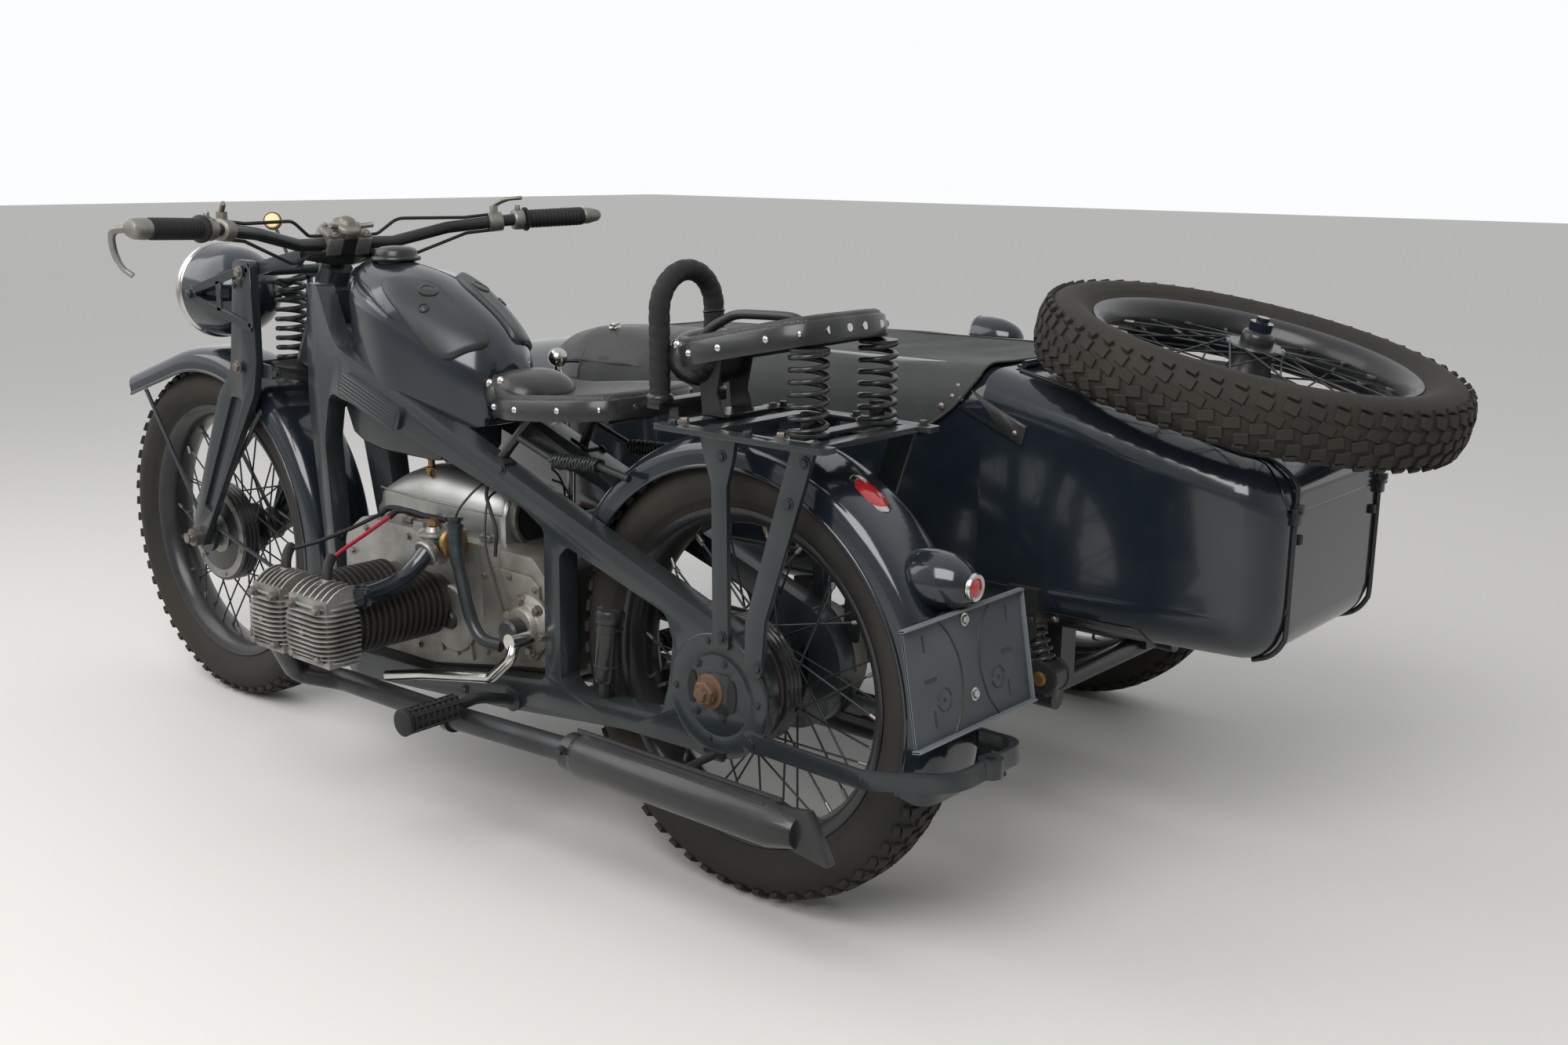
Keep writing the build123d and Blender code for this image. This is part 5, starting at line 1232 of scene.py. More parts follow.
def rounded_tail(node: str) -> None:
    """Stands a copy of a tail node in for it, with its slanting corner faces turned into round ones.

    Args:
        node: the node's name.
    """
    skin, radius = Sidecar(), 64.0
    end, first, second = skin.rows[0][0], skin.rows[1], skin.rows[2]
    form = copied(node, 1.0)
    for n in range(1, 13):
        cut = at(end + radius * (1 - math.sin(math.radians(7.5 * n))), 0, 0)
        bmesh.ops.bisect_plane(form.shape, geom=form.shape.verts[:] + form.shape.edges[:] + form.shape.faces[:],
                               plane_co=cut, plane_no=AHEAD)
    to_bike = BIKE.inverted()
    for vertex in form.shape.verts:
        x, y, z = to_bike @ vertex.co
        if x > end + radius:
            continue
        _, half_was, low_was, high_was = skin.row(x)[:4]
        _, wide, low, high = between(first, second, (x - first[0]) / (second[0] - first[0]))[:4]
        inset = radius - math.sqrt(max(radius ** 2 - (end + radius - x) ** 2, 0.0))
        low_now, high_now = low + inset * 0.85, high - inset * 0.62
        part = (z - low_was) / (high_was - low_was)
        wider = (wide - inset) / half_was
        vertex.co = BIKE @ Vector((x, SIDECAR_Y + (y - SIDECAR_Y) * wider, low_now + (high_now - low_now) * part))
    form.build(f"{node}_dressed", NODE_FINISH[node], BODY_OF[node], (node,), 38.0)


def exhaust_trim() -> None:
    """Adds the silencers' rails, the tail slots and the clamps on the pipes."""
    rails, slots = Form(), Form()
    for z in (264.5, 258):
        rails.sweep([(x, 205 + (264.5 - z) * 2.2, z) for x in (-200, 150)], 2.2, 8)
    rails.turn([(26, -9), (29, -9), (29, 9), (26, 9)], (182, 205, 229), AHEAD)
    rails.turn([(21.5, -7), (24, -7), (24, 7), (21.5, 7)], (470, 205, 216), AHEAD)
    rails.bolt((182, 232, 240), LEFT, 6.0, 8.0)
    slots.plate([(-269, 252), (-264, 254), (-300, 203), (-306, 200)], 201, 209)
    rails.both_sides().build("silencer_rails", DARK_ENAMEL)
    slots.both_sides().build("tail_slots", BARREL_IRON)


def frame_trim() -> None:
    """Adds bolts, nuts, and slots of painted shade to the frame, the carrier, the fork and the rear bar."""
    bolts, dark, bright = Form(), Form(), Form()
    for x, z in ((24, 379), (-27, 388), (3, 418), (25, 307), (-25, 306), (0, 271), (66, 338), (-92, 342)):
        bolts.bolt((x, 108, z), LEFT, 4.6, 4.0)
    for x, z in ((-30, 690), (-30, 430), (-98, 400), (-150, 640), (-178, 700), (-88, 287), (448, 608), (866, 250),
                 (700, 208), (560, 216), (940, 420), (930, 760)):
        bolts.bolt((x, 116 if x < 0 else 108 if x < 870 else 80, z), LEFT, 6.5, 5.5)
    for x in (60, -80, -200):
        bolts.bolt((x, 120, 725), UP, 6.5, 7.0)
    # Black plates stand for the lobe's slots: painted shade of the openings
    for x in (34, -42):
        dark.plate([(x + 9 * math.cos(k), AXLE_Z + 25 * math.sin(k)) for k in spread(20)], 104, 109.4)
    for x, z in ((1205, 700), (1180, 876)):
        bright.bolt((x, 104, z), LEFT, 9.0, 7.0)
    for x, z in ((1112, 694), (1020, 900)):
        bolts.bolt((x, 80, z), LEFT, 8.0, 7.0)
    bright.bolt((WHEELBASE, 109, AXLE_Z), LEFT, 12.0, 10.0)
    lobe = Form()
    lobe.turn([(88, -6), (93, -3), (94, 1), (92, 3.4), (89, 4.2), (62, 4.2), (60, 2.6), (34, 2.6), (32, 4), (0, 4)],
              (-14, 105, 338), LEFT, 64)
    lobe.build("axle_lobe", FRAME_ENAMEL)
    bolts.both_sides().build("frame_bolts", DARK_STEEL)
    dark.both_sides().build("lobe_slot_shade", BLACK_RUBBER)
    bright.both_sides().build("fork_nuts", BARE_STEEL, "steering")


def rear_axle_nut() -> None:
    """Adds the rusty castle nut and washer at the left end of the rear axle."""
    form = Form()
    form.turn([(26, 0), (26, 3), (20, 4)], (0, 108, AXLE_Z), LEFT)
    form.turn([(19, 3), (19, 16), (17, 18), (11, 18), (10, 24), (0, 25)], (0, 108, AXLE_Z), LEFT, 6)
    form.build("axle_nut", RUSTY_STEEL)


def tail_lamp() -> None:
    """Makes the tail lamp's pod, its lens and the ring around it."""
    centre = (0, 0, 543)
    ring, lens, pod = Form(), Form(), Form()
    ring.turn([(15, -371.5), (19, -371.5), (20, -375), (18, -378), (15.5, -377)], centre, AHEAD, 40)
    ring.build("lens_ring", BRIGHT_METAL, angle=60.0)
    lens.turn([(15.5, -370), (15.5, -374), (13, -377.5), (8, -379.4), (0, -380)], centre, AHEAD)
    lens.build("lens_dressed", RED_LENS, "chassis", ("tail_lens",), 60.0)
    profile = [(15, -371), (20, -369), (31, -356), (39.5, -334), (42, -308), (38, -284), (26, -262)]
    pod.turn(curved(profile), centre, AHEAD, 48)
    pod.build("pod_dressed", BODY_ENAMEL, "chassis", ("tail_lamp",), 60.0)


def number_plate() -> None:
    """Makes the blank plate with its strips, grooves, broken rings and bolts."""
    place = BIKE @ Matrix.Translation((-366, -6, 430)) @ Matrix.Rotation(math.radians(10), 4, "Y")
    plate, marks, bolts = Form(place), Form(place), Form(place)
    for size, centre in (((3, 274, 156), (0, 0, 0)), ((12, 280, 3), (-3, 0, 79)), ((14, 280, 3), (-4, 0, -79)),
                         ((9, 3, 156), (-3, -138.5, 0))):
        plate.box(size, centre)
    for side, groove in ((1, ((60, 76), (40, 54), (24, 22), (20, -12), (30, -50), (46, -76))),
                         (-1, ((60, 76), (34, 50), (25, 22), (24, -10), (36, -48), (56, -76)))):
        marks.sweep(smooth_path([(-1.3, side * y, z) for y, z in groove], 6), 1.9, 8)
        for n in range(4):
            arc = [math.radians(90 * n + 10 + 14 * m) for m in range(6)]
            marks.sweep([(-1.6, side * 64 + 15 * math.cos(k), -28 + 15 * math.sin(k)) for k in arc], 1.3, 6)
        marks.turn([(3, -1), (3, -2.2), (0, -2.4)], (0, side * 64, -28), AHEAD, 16)
        for y, z, high, wide in ((98, 54, 22, 3), (90, 4, 5, 26), (88, -48, 22, 3)):
            marks.box((3, wide, high), (-0.8, side * y, z))
    plate.build("plate_dressed", PLATE_PAINT, bevel=0.7)
    marks.build("plate_marks", BARREL_IRON)
    for y, z in ((2, 66), (-3, -37)):
        bolts.bolt((-2, y, z), (-1, 0, 0), 6.5, 5.0)
    bolts.build("plate_bolts", BRIGHT_METAL)


def badge() -> None:
    """Makes the plain enamel badge on the rear mudguard, and its bright rim."""
    place = BIKE @ Matrix.Translation((4, 0, AXLE_Z)) @ Matrix.Rotation(math.radians(-124), 4, "Y")
    for name, finish, size, height in (("badge", RED_ENAMEL, 0.88, 3.2), ("badge_rim", BRIGHT_METAL, 1.14, 2.4)):
        form, rings = Form(place), []
        for grow, rise in ((size, -6), (size, height - 0.6), (size * 0.96, height), (size * 0.5, height + 0.5)):
            spots = [(24 * grow * math.cos(k), 33 * grow * math.sin(k)) for k in spread(32)]
            rings.append([(366 + rise - y * y / 110 - t * t / 732, y, t) for y, t in spots])
        form.skin(rings)
        form.build(name, finish, angle=60.0)


@dataclass
class Steering:
    """The front mudguard, the headlamp, the fork's details and everything on the handlebar.

    Attributes:
        bar: the handlebar's points from the middle to the left end.
        lamp_x: x of the headlamp's middle.
        lamp_z: its height.
    """

    bar: tuple[tuple[float, float, float], ...] = ((1003, 0, 932), (988, 100, 933), (958, 200, 957), (905, 310, 970),
                                                   (855, 450, 976))
    lamp_x: float = 1370.0
    lamp_z: float = 826.0

    def build(self) -> None:
        """Makes every piece of the steering."""
        Mudguard("front_mudguard", (WHEELBASE, 0, AXLE_Z), 374, 72, 196, 186).build()
        self._stays()
        self._lamp()
        self._fork()
        self._clamp()
        self._grips()
        self._levers()

    @staticmethod
    def _stays() -> None:
        """Makes the flat stays of the front mudguard."""
        form = Form()
        for angle, foot in ((52, 14), (128, -4), (190, -14)):
            k = math.radians(angle)
            head = (WHEELBASE + 342 * math.cos(k), 69, AXLE_Z + 342 * math.sin(k))
            form.sweep([(WHEELBASE + foot, 76, 368), head], 4.5, 6)
            form.dome((head[0], 69, head[2]), LEFT, 6.0, 4.0)
        form.turn([(34, 70), (34, 81), (20, 81)], (WHEELBASE, 0, AXLE_Z), LEFT)
        form.both_sides().build("front_stays", FRAME_ENAMEL, "steering")

    def _lamp(self) -> None:
        """Makes the headlamp's bowl, rim, reflector and brackets."""
        x, z = self.lamp_x, self.lamp_z
        bowl, rim, mirror, ears = Form(), Form(), Form(), Form()
        profile = [(0, -92), (22, -90), (46, -80), (68, -58), (83, -26), (89, 14), (91, 44)]
        bowl.turn(curved(profile), (x, 0, z), AHEAD, 64)
        bowl.build("headlamp_bowl", BODY_ENAMEL, "steering", angle=60.0)
        rim.turn([(90, 38), (94, 42), (95, 50), (92, 58), (86, 62), (80, 62), (80, 56)], (x, 0, z), AHEAD, 64)
        rim.build("headlamp_rim", BRIGHT_METAL, "steering", angle=60.0)
        mirror.turn([(80, 57), (66, 36), (44, 18), (20, 8), (0, 5)], (x, 0, z), AHEAD, 48)
        mirror.turn([(7, 6), (10, 24), (8, 36), (0, 41)], (x, 0, z), AHEAD, 20)
        mirror.build("headlamp_mirror", BRIGHT_METAL, "steering", angle=60.0)
        for start, end in (((1158, 886), (1354, 834)), ((1158, 776), (1354, 818)), ((1158, 886), (1158, 776)),
                           ((1262, 856), (1262, 800))):
            along = Vector((end[0] - start[0], 0, end[1] - start[1]))
            across = Vector((along.z, 0, -along.x)).normalized() * 8
            ears.plate([(p[0] + across.x * k, p[1] + across.z * k) for p, k in
                        ((start, 1), (end, 1), (end, -1), (start, -1))], 96.3, 100.5)
        ears.turn([(16, 0), (16, 5), (0, 5)], (x - 12, 96, z), LEFT, 24)
        ears.bolt((x - 12, 100.5, z), LEFT, 9.0, 9.0)
        ears.rod((x - 12, 80, z), (x - 12, 98, z), 11)
        ears.bolt((1202, 100.5, 852), LEFT, 6.0, 5.0)
        ears.both_sides().build("headlamp_ears", FRAME_ENAMEL, "steering", ("headlamp",), 40.0, 0.8, 1)

    @staticmethod
    def _fork() -> None:
        """Fills the fork's slots with recessed panels and adds the friction knob and amber disc."""
        panel = Form()
        panel.plate([(1206, 640), (1246, 640), (1374, 408), (1346, 400)], 85, 89)
        panel.both_sides().build("fork_panels", FRAME_ENAMEL, "steering")
        top = Form()
        rake = math.radians(FORK_RAKE)
        top.turn([(20, 0), (20, 8), (26, 9), (27, 14), (25, 20), (15, 23), (12, 30), (0, 31)], (995, 0, 950),
                 (-math.sin(rake), 0, math.cos(rake)))
        for s in (-1, 1):
            top.rod((988, s * 16, 962), (972, s * 46, 966), 5.0, 12)
        top.build("damper_knob", CAST_ALLOY, "steering", bevel=0.8, segments=1)
        disc, stalk, centre, axis = Form(), Form(), (1150, 46, 968), (-0.7, 0.6, 0.3)
        disc.turn([(14, 0), (14, 5), (12, 7), (0, 8)], centre, axis, 24)
        disc.build("amber_disc", AMBER, "steering")
        stalk.rod(centre, (1120, 40, 912), 3.0, 10)
        stalk.turn([(16, -3), (16.5, 3), (14.5, 4)], centre, axis, 24)
        stalk.build("amber_stalk", DARK_STEEL, "steering")

    @staticmethod
    def _clamp() -> None:
        """Makes the silver handlebar clamp with its bolts."""
        form = Form(BIKE @ Matrix.Translation((1001, 0, 937)) @ Matrix.Rotation(math.radians(-FORK_RAKE), 4, "Y"))
        for y in (30, -30):
            form.box((46, 30, 32), (0, y, 0))
        form.box((34, 92, 12), (0, 0, 17))
        for x, y in itertools.product((-16, 16), (-34, 34)):
            form.bolt((x, y, 22), UP, 5.0, 6.0)
        form.build("bar_clamp", CAST_ALLOY, "steering", angle=30.0, bevel=3.0)

    def _run(self, first: int, side: int) -> tuple[Vector, Vector]:
        """A bar straight's start and direction on one side of the machine."""
        a, b = (Vector((x, y * side, z)) for x, y, z in self.bar[first:first + 2])
        return a, (b - a).normalized()

    def _grips(self) -> None:
        """Makes the ridged rubber grips with their inner flanges."""
        form = Form()
        for side in (-1, 1):
            start, run = self._run(3, side)
            profile = [(11, 27), (22, 27), (22.5, 31), (19, 34), (16.5, 38)]
            for k in range(13):
                near = 40 + 7.6 * k
                profile += [(16.2, near), (17.4, near + 1.6), (17.4, near + 4.6), (16.2, near + 6.2)]
            profile += [(17.5, 141), (16, 146), (11, 147)]
            form.turn(profile, start, run, 24)
        form.build("grips_dressed", BLACK_RUBBER, "steering", ("grips",), 60.0)

    def _levers(self) -> None:
        """Makes the bar-end lever on the left, the cap on the right, and the inner clamps."""
        form, steel = Form(), Form()
        for side in (-1, 1):
            start, run = self._run(3, side)
            form.turn([(11, 4), (18, 4), (19, 8), (19, 22), (17, 26), (11, 26)], start, run)
            steel.bolt(start + run * 14 + Vector((0, 0, 18)), UP, 5.0, 9.0)
            inner, way = self._run(2, side)
            form.turn([(11, 79), (18, 80), (18, 105), (11, 107)], inner, way, 24)
            form.box((14, 12, 16), inner + way * 93 + Vector((4, 0, 22)), (0, 0, 20 * side))
            steel.sweep(smooth_path([inner + way * 93 + Vector((4, 0, 30)), inner + way * 104 + Vector((-14, 0, 40)),
                                     inner + way * 122 + Vector((-34, 0, 42))], 5), [4.5] * 6 + [3.6] * 5, 10)
        start, run = self._run(3, 1)
        form.turn([(11, 146), (15.5, 148), (17, 156), (16, 176), (12, 186), (0, 187)], start, run, 28)
        blade = smooth_path([start + run * 176, (893, 484, 972), (916, 474, 942), (914, 464, 916), (904, 452, 902)], 6)
        form.sweep(blade, [6.5] * 8 + [5.5] * 8 + [4.6] * 9, 12)
        start, run = self._run(3, -1)
        form.turn([(11, 146), (15, 148), (15.5, 156), (11, 178), (6, 184), (0, 185)], start, run, 28)
        form.build("levers_dressed", CAST_ALLOY, "steering", ("hand_levers",), 40.0, 0.6, 1)
        steel.build("lever_steel", BARE_STEEL, "steering")


def grab_handle() -> None:
    """Makes the taped arch with its wire rings and its foot."""
    arc = [(146, 58, 744), (146, 58, 872)]
    arc += [(146, 58 * math.cos(k), 872 + 58 * math.sin(k)) for k in spread(40, 180.0)[1:-1]]
    arc += [(146, -58, 872), (146, -58, 744)]
    line = [Vector(point) for point in arc]
    fine = []
    for a, b in zip(line, line[1:]):
        count = max(1, round((b - a).length / 4.5))
        fine += [a + (b - a) * n / count for n in range(count)]
    fine.append(line[-1])
    radii = [15.6 if n % 4 else 14.7 for n in range(len(fine))]
    form = Form()
    form.sweep(fine, radii, 20)
    form.build("handle_tape", HANDLE_TAPE, "chassis", ("grab_handle",), 60.0)
    rings, foot = Form(), Form()
    for z, lean in ((866, 0.12), (838, 0.16)):
        rings.turn([(15.8, -1.8), (17.4, 0), (15.8, 1.8)], (146, -58, z), (lean, 0, 1), 24)
    rings.build("handle_rings", DARK_STEEL, angle=60.0)
    foot.box((26, 146, 12), (146, 0, 738))
    foot.box((100, 60, 6), (107, 0, 714))
    foot.box((20, 60, 28), (146, 0, 728))
    for y in (-58, 58):
        foot.turn([(20, 0), (20, 8), (16, 12)], (146, y, 742), UP, 24)
    foot.build("handle_foot", DARK_ENAMEL, bevel=1.5)


def pump_and_rests() -> None:
    """Makes the tyre pump, the ribbed footrest rubbers and the rod between them."""
    pump = Form()
    pump.turn([(0, 0), (12, 0), (12, 24), (19, 27), (20.5, 34), (20.5, 122), (23, 124), (23.5, 136), (20, 143),
               (10, 147), (0, 148)], (235, 92, 276), (-0.085, 0, 1))
    for low in (50, 108):
        pump.turn([(20.5, low), (22, low + 1), (22, low + 5), (20.5, low + 6)], (235, 92, 276), (-0.085, 0, 1))
    pump.build("pump_dressed", DARK_ENAMEL, "chassis", ("tyre_pump",))
    rubber, rod = Form(), Form()
    start, end = Vector((430, 228, 250)), Vector((428, 334, 250))
    run = (end - start).normalized()
    rubber.turn([(10, 0), (16, 0), (17, 2), (17, 96), (21, 98), (21.5, 104), (17, 107), (0, 107)], start, run)
    for k in range(8):
        rubber.turn([(16.6, 6 + 11.4 * k), (19.6, 8 + 11.4 * k), (19.6, 12 + 11.4 * k), (16.6, 14 + 11.4 * k)], start,
                    run, 24)
    for around in spread(10):
        rubber.box((4.5, 92, 4.5), (429 + 18 * math.cos(around), 276, 250 + 18 * math.sin(around)),
                   (0, -math.degrees(around), 1.1))
    rod.sweep(smooth_path([(430, 236, 250), (432, 206, 250), (434, 180, 249), (435, 140, 238), (436, 112, 229)], 6), 9,
              16)
    rod.turn([(20, 0), (20, 5), (13, 7)], (436, 108, 229), LEFT)
    rubber.both_sides().build("rest_rubbers", BLACK_RUBBER, "chassis", ("footrests",))
    rod.both_sides()
    rod.rod((436, -110, 229), (436, 110, 229), 8.8, 16)
    rod.build("rest_rod", DARK_STEEL)


@dataclass
class Sidecar:
    """The sidecar's cover, beads, clips, straps and lamp.

    Attributes:
        rows: stations of x, half width, low, high, low corner and high corner.
    """

    rows: tuple[tuple[float, ...], ...] = (
        (-588, 186, 402, 622, 60, 50), (-545, 236, 358, 664, 80, 60), (-100, 258, 345, 764, 90, 60),
        (480, 258, 330, 758, 90, 90), (900, 226, 332, 738, 90, 90), (1200, 150, 360, 694, 80, 80),
        (1380, 74, 410, 612, 60, 60), (1430, 30, 446, 560, 24, 24))

    def row(self, x: float) -> list[float]:
        """The station at x, between the rows."""
        first, second = next((a, b) for a, b in zip(self.rows, self.rows[1:]) if b[0] >= x or b is self.rows[-1])
        return between(first, second, min(max((x - first[0]) / (second[0] - first[0]), 0.0), 1.0))

    def flank(self, x: float, z: float, side: int = 1) -> float:
        """The y of the skin on one side at a place."""
        _, half, low, high, r_low, r_high = self.row(x)
        depth = r_low - (z - low) if z < low + r_low else r_high - (high - z) if z > high - r_high else 0.0
        radius = r_low if z < low + r_low else r_high
        return SIDECAR_Y + side * (half - radius + math.sqrt(max(radius ** 2 - depth ** 2, 0.0)))

    def crown(self, x: float, y: float) -> float:
        """The height of the skin's top at a place, y from the middle plane."""
        _, half, _, high, _, radius = self.row(x)
        over = abs(y) - (half - radius)
        return high if over <= 0 else high - radius + math.sqrt(max(radius ** 2 - over ** 2, 0.0))

    def build(self) -> None:
        """Makes every piece of the sidecar that the node shapes lack."""
        self._cover()
        self._hump()
        self._tail()
        self._straps()
        self._mount()
        self._lamp()

    def _over(self, x: float, run: float) -> tuple[tuple[float, float], tuple[float, float]]:
        """Where a run from the middle of the top out over the skin ends, and the skin's way out there, as y and z."""
        _, half, _, high, _, radius = self.row(x)
        flat, bend = half - radius, radius * math.pi / 2
        if run <= flat:
            return (run, high), (0.0, 1.0)
        if run > flat + bend:
            return (half, high - radius - (run - flat - bend)), (1.0, 0.0)
        k = (run - flat) / radius
        return (flat + radius * math.sin(k), high - radius + radius * math.cos(k)), (math.sin(k), math.cos(k))

    def _cover(self) -> None:
        """Lays the cloth cover with its folds, its hem and its press studs."""
        count, drop = 72, 118.0
        rows = []
        for i in range(97):
            x = -86 + 962 * i / 96
            _, half, *_, radius = self.row(x)
            flat, bend = half - radius, radius * math.pi / 2
            fall = drop * min(1.0, max(0.02, (x + 92) / 130)) ** 0.55
            turned = radius * math.acos(1 - fall / radius) if fall < radius else bend + fall - radius
            reach = flat + turned
            ring = []
            for j in range(count + 1):
                s = -reach + 2 * reach * j / count
                side, run = (1 if s >= 0 else -1), abs(s)
                spot, out = self._over(x, run)
                inside = max(0.0, min((x + 70) / 90, (640 - x) / 90, 1.0)) * max(0.0, 1 - run / (flat + 30)) ** 0.5
                fold = 1.6 * math.sin(x / 41 + s / 57) * math.sin(s / 83 + 1.1) + 1.1 * math.sin(x / 23 - s / 31)
                hang = min(run / reach, 1.0) ** 3
                lift = 3.2 + 0.5 * fold - inside * (9.0 + 5.0 * math.sin(x / 150) + 2.0 * fold) \
                    + hang * 2.4 * (1 + math.sin(x / 26 + 0.6 * math.sin(x / 60)))
                hem = 5.0 * math.sin(x / 90) * hang
                ring.append((x, SIDECAR_Y + side * (spot[0] + out[0] * lift), spot[1] + out[1] * lift - hem))
            rows.append(ring)
        form = Form()
        form.skin(rows, closed=False)
        cloth = form.build("cover_cloth", COVER_CANVAS, "chassis", ("tonneau_cover",), 80.0)
        hem, studs = Form(), Form()
        for column in (0, count):
            hem.sweep([row[column] for row in rows[::2]], 2.6, 6)
        hem.sweep(rows[0][::2], 2.6, 6)
        hem.sweep(rows[-1][::2], 2.6, 6)
        hem_piece = hem.build("cover_hem", COVER_CANVAS, angle=60.0)
        for i in range(6, 96, 11):
            for column, side in ((2, -1), (count - 2, 1)):
                studs.dome(rows[i][column], (0, side, 0), 6.5, 4.0)
        studs.build("cover_studs", BARE_STEEL, angle=60.0)

    def _hump(self) -> None:
        """Makes the dark leather flap over the cover's front with its turn buckle."""
        rings = []
        for i in range(25):
            x = 690 + 300 * i / 24
            ring = []
            for j in range(25):
                y = 246 - 250 * j / 24
                bulge = math.sin(math.pi * i / 24) ** 0.6 * math.sin(math.pi * j / 24) ** 0.6
                ring.append((x, SIDECAR_Y + min(y, self.row(x)[1] - 4),
                             self.crown(x, min(y, self.row(x)[1] - 8)) + 3 + 13 * bulge))
            rings.append(ring)
        form, buckle = Form(), Form()
        form.skin(rings, closed=False)
        flap = form.build("cover_flap", SEAT_LEATHER, angle=60.0)
        top = (846, SIDECAR_Y + 156, self.crown(846, 156) + 15)
        buckle.turn([(13, 0), (13, 2), (11, 3)], top, (0, 0.1, 1), 24)
        buckle.box((8, 40, 5), (top[0], top[1], top[2] + 7), (0, 0, 30))
        buckle.rod(top, (top[0], top[1], top[2] + 8), 4, 12)
        buckle.build("flap_buckle", BRIGHT_METAL, bevel=1.0)

    def _tail(self) -> None:
        """Makes the beads, the latches and the small clips."""
        beads, clips, rubber = Form(), Form(), Form()
        for side in (-1, 1):
            y = SIDECAR_Y + side * 165
            under = [(-524 - 64 * math.sin(k) - 2, y, 358 + 54.4 * (1 - math.cos(k)) - 2) for k in
                     (math.radians(d) for d in (86, 70, 52, 34, 14))]
            over = [(-524 - 64 * math.sin(k) - 2, y - side * 2, 668 - 10 * math.sin(k) - 40 * (1 - math.cos(k)) + 2)
                    for k in (math.radians(d) for d in (10, 30, 50, 68, 84))]
            beads.sweep(smooth_path([*over[3:], (-590, y, 560), (-590, y, 470), *under], 4), 4.2, 10)
            edge = [(x, SIDECAR_Y + side * 184, self.crown(x, 184) + 1.5) for x in (-124, -220, -330, -440, -510)]
            beads.sweep(smooth_path([*edge, *over[:4]], 3), 3.4, 10)
            clips.box((10, 16, 26), (-592, y, 586))
            clips.box((14, 10, 10), (-595, y, 600))
            clips.rod((-596, y - 11, 590), (-596, y + 11, 590), 4, 12)
            rubber.box((8, 12, 14), (-590, y - side * 20, 548))
            rubber.turn([(7, 0), (7, 3), (5, 5)], (-587, y, 440), (-1, 0, 0), 16)
        beads.build("tail_beads", DARK_ENAMEL, angle=60.0)
        clips.build("tail_latches", DARK_STEEL, bevel=1.0)
        rubber.build("tail_clips", BLACK_RUBBER, bevel=1.0)

    def _straps(self) -> None:
        """Makes the corner strap by the lid and the strip low on the left flank."""
        strap, dots = Form(), Form()
        lower = [(-176, 652), (-184, 684), (-30, 752), (-22, 716)]
        rings = [[(x, self.flank(x, z) + lift, z) for x, z in self._fine(lower)] for lift in (-2.0, 4.2)]
        strap.skin(rings)
        for x, z in ((-50, 735), (-62, 716), (-44, 718), (-164, 672)):
            dots.dome((x, self.flank(x, z) + 4, z), (0, 1, 0.2), 4.6, 2.6)
        strip = [(-218, 354), (-218, 388), (-384, 386), (-392, 356)]
        rings = [[(x, self.flank(x, z) + lift, z) for x, z in self._fine(strip)] for lift in (-2.0, 3.0)]
        strap.skin(rings)
        dots.bolt((-236, self.flank(-236, 376) + 3, 376), LEFT, 5.0, 5.0)
        strap.build("flank_straps", DARK_ENAMEL, angle=50.0, bevel=0.8, segments=1)
        dots.build("strap_rivets", BARE_STEEL, angle=60.0)

    @staticmethod
    def _fine(outline: Sequence[tuple[float, float]], parts: int = 6) -> list[list[float]]:
        """An outline with points between its corners."""
        fine = []
        for first, second in zip(outline, [*outline[1:], outline[0]]):
            fine += [between(first, second, n / parts) for n in range(parts)]
        return fine

    @staticmethod
    def _mount() -> None:
        """Makes the rear mount's rubber rollers with brass hubs."""
        rubber, hub = Form(), Form()
        rubber.turn([(12, -24), (26, -24), (28, -18), (22, -10), (22, 10), (28, 18), (26, 24), (12, 24)],
                    (-242, -424, 288), LEFT)
        rubber.turn([(10, -20), (22, -20), (23, -14), (18, -8), (18, 8), (23, 14), (22, 20), (10, 20)],
                    (-206, -420, 362), LEFT)
        hub.turn([(12, 20), (12, 27), (8, 29), (0, 29)], (-242, -424, 288), LEFT, 20)
        rubber.build("mount_rollers", BLACK_RUBBER)
        hub.build("mount_hub", BRASS)

    @staticmethod
    def _lamp() -> None:
        """Makes the smooth position lamp on the mudguard."""
        form, glass, centre = Form(), Form(), (345, SIDE_WHEEL_Y, 725)
        form.turn(curved([(0, -58), (14, -54), (28, -38), (38, -12), (42, 18), (42, 44)], 4), centre, AHEAD, 40)
        form.turn([(16, -12), (15, -26), (10, -42)], (345, SIDE_WHEEL_Y, 700), UP, 20)
        form.build("side_lamp_dressed", BODY_ENAMEL, "chassis", ("side_lamp",), 60.0)
        glass.turn([(41, 43), (43, 46), (42, 50), (36, 52), (20, 54), (0, 55)], centre, AHEAD, 40)
        glass.build("side_lamp_glass", CLEAR_GLASS, angle=60.0)


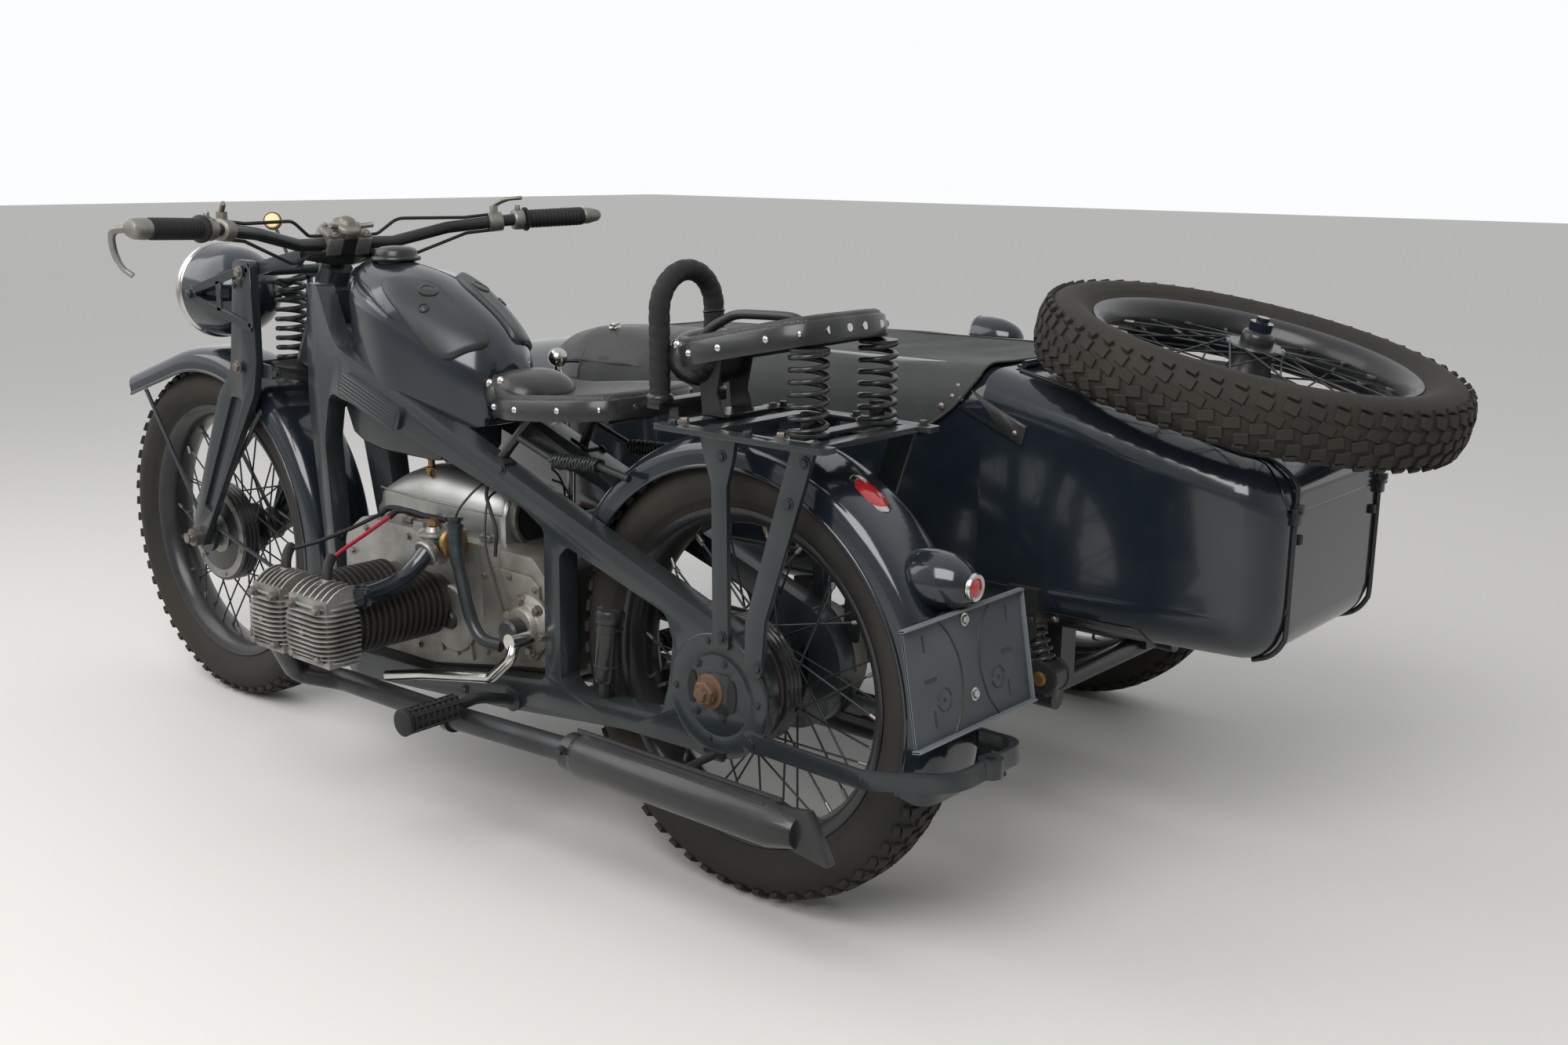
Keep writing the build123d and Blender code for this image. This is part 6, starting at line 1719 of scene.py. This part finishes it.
@dataclass
class Studio:
    """The floor, the lights and the camera at the photograph's viewing angle.

    Attributes:
        eye: the camera's place, in millimetres about the rear axle's ground point.
        heading: the way it looks, in radians from +X towards +Y.
        dip: how far it looks down, in radians.
        roll: its turn about the line of sight, in radians.
        lens: the focal length in millimetres on a 36 mm sensor.
        level: the surround's strength for what it lights.
        shine: what is added to that in reflections.
        shade: how much darker the surround is behind the camera.
        behind: the direction of that shade.
    """

    eye: tuple[float, float, float] = (-1493.755, 1713.213, 1095.153)
    heading: float = -0.8688
    dip: float = 0.2258
    roll: float = 0.0095
    lens: float = 36.743
    level: float = 0.78
    shine: float = 0.12
    shade: float = 0.62
    behind: tuple[float, float, float] = (-0.67, 0.72, 0.05)

    def build(self) -> None:
        """Makes the camera, the floor and the lights."""
        self._camera()
        self._floor()
        self._lights()
        LOG.info("studio ready")

    def _camera(self) -> None:
        """Sets the camera from the angles of its line of sight."""
        data = bpy.data.cameras.new("camera")
        data.lens = self.lens
        data.sensor_width = 36.0
        data.sensor_fit = "HORIZONTAL"
        data.clip_end = 100.0
        camera = placed("camera", data)
        ahead = Vector((math.cos(self.heading) * math.cos(self.dip), math.sin(self.heading) * math.cos(self.dip),
                        -math.sin(self.dip)))
        level = Vector((math.sin(self.heading), -math.cos(self.heading), 0.0))
        raised = level.cross(ahead)
        right = level * math.cos(self.roll) + raised * math.sin(self.roll)
        up = raised * math.cos(self.roll) - level * math.sin(self.roll)
        turn = Matrix((right, up, -ahead)).transposed().to_4x4()
        camera.matrix_world = Matrix.Translation(at(*self.eye)) @ turn
        bpy.context.scene.camera = camera

    @staticmethod
    def _floor() -> None:
        """Lays a pale floor that runs into the white background."""
        mesh = bpy.data.meshes.new("floor")
        shape = bmesh.new()
        bmesh.ops.create_grid(shape, x_segments=1, y_segments=1, size=30.0)
        shape.to_mesh(mesh)
        shape.free()
        floor = placed("floor", mesh)
        material = bpy.data.materials.new("floor")
        material.use_nodes = True
        shader = material.node_tree.nodes["Principled BSDF"]
        shader.inputs["Base Color"].default_value = (0.62, 0.605, 0.575, 1.0)
        shader.inputs["Roughness"].default_value = 0.55
        mesh.materials.append(material)

    def _lights(self) -> None:
        """Sets a surround that looks white and lights plainly, and two large soft lamps."""
        scene = bpy.context.scene
        scene.view_settings.view_transform = "Standard"
        world = bpy.data.worlds.new("surround")
        world.use_nodes = True
        scene.world = world
        tree = world.node_tree
        path = tree.nodes.new("ShaderNodeLightPath")
        background = tree.nodes["Background"]
        ray = tree.nodes.new("ShaderNodeTexCoord").outputs["Generated"]
        facing = add_node(tree, "ShaderNodeVectorMath", {"0": ray}, operation="DOT_PRODUCT")
        facing.inputs[1].default_value = self.behind
        dark = math_node(tree, "MULTIPLY", facing.outputs["Value"], self.shade, clamp=True)
        shine = math_node(tree, "MULTIPLY", path.outputs["Is Glossy Ray"], self.shine)
        surround = math_node(tree, "SUBTRACT", math_node(tree, "ADD", shine, self.level), dark)
        seen = math_node(tree, "MAXIMUM", path.outputs["Is Camera Ray"], path.outputs["Is Transmission Ray"])
        strength = math_node(tree, "MAXIMUM", seen, surround)
        background.inputs["Color"].default_value = (0.965, 0.98, 1.0, 1.0)
        tree.links.new(strength, background.inputs["Strength"])
        self._lamp("key", (-900.0, 2600.0, 3200.0), (300.0, -300.0, 500.0), 2.6, 150.0)
        self._lamp("fill", (2600.0, 1500.0, 2600.0), (500.0, -200.0, 500.0), 2.6, 45.0)

    @staticmethod
    def _lamp(name: str, place: Sequence[float], target: Sequence[float], size: float, power: float) -> None:
        """Adds one square area lamp that faces a target.

        Args:
            name: the lamp's name.
            place: its place about the rear axle, in millimetres.
            target: what it faces, likewise.
            size: its side in metres.
            power: its power in watts.
        """
        data = bpy.data.lights.new(name, "AREA")
        data.size = size
        data.energy = power
        lamp = placed(name, data)
        lamp.location = at(*place)
        lamp.rotation_euler = (at(*target) - at(*place)).to_track_quat("-Z", "Y").to_euler()


# The rounding of the edges of each node that is shown with softened edges, in millimetres
SOFT_EDGES = {"frame_sides": 3.0, "fork_blades": 3.0, "carrier": 1.2, "rear_bar": 1.5, "final_drive": 4.0,
              "silencers": 2.0, "fork_stem": 3.0}
RIDER_RIVETS = (0.18, 0.32, 0.46, 0.60, 0.74, 0.88)
PILLION_RIVETS = (0.14, 0.26, 0.38, 0.50, 0.62, 0.74, 0.85, 0.95)


def dress_nodes() -> None:
    """Gives every carried-over node its finish."""
    for name, finish in NODE_FINISH.items():
        mesh = frame["nodes"][name].data
        mesh.materials.clear()
        mesh.materials.append(finish.material())


def wheels() -> list[Wheel]:
    """The four wheels, the spare tilted on the boot lid."""
    low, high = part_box("spare_tyre")
    tilt = Matrix.Rotation(math.radians(-12.66), 4, "Y") @ Matrix.Rotation(math.radians(-90), 4, "X")
    return [*(Wheel(name, f"{name}_wheel", Matrix.Translation(JOINTS[f"{name}_wheel_spin"]["pos_m"]) @ SCALE)
              for name in ("front", "rear", "side")),
            Wheel("spare", "boot_lid", Matrix.Translation((low + high) / 2) @ tilt @ SCALE)]


def main() -> None:
    """Builds the studio and every piece."""
    logging.basicConfig(level=logging.INFO)
    Studio().build()
    dress_nodes()
    for wheel in wheels():
        wheel.build()
    for guard in (Mudguard("rear_mudguard", (4, 0, AXLE_Z), 366, 26, 196),
                  Mudguard("side_mudguard", (132, SIDE_WHEEL_Y, AXLE_Z), 374, 20, 172)):
        guard.build()
    for node, width in SOFT_EDGES.items():
        softened(node, width)
    Tank().build()
    Saddle("rider_saddle", 538, 678, 5.5, 335, 60, 120, 32, 9, 34, RIDER_RIVETS).build()
    Saddle("pillion_saddle", 128, 790, 12.0, 308, 48, 112, 32, 7, 10, PILLION_RIVETS).build()
    Engine().build()
    Steering().build()
    Sidecar().build()
    softened("sidecar_nose", 5.0, 52.0)
    for node in ("sidecar_tail", "boot_lid"):
        rounded_tail(node)
    for piece in (springs, saddle_fittings, exhaust_trim, frame_trim, rear_axle_nut, tail_lamp, number_plate,
                  badge, grab_handle, pump_and_rests):
        piece()


if __name__ == "__main__":
    main()
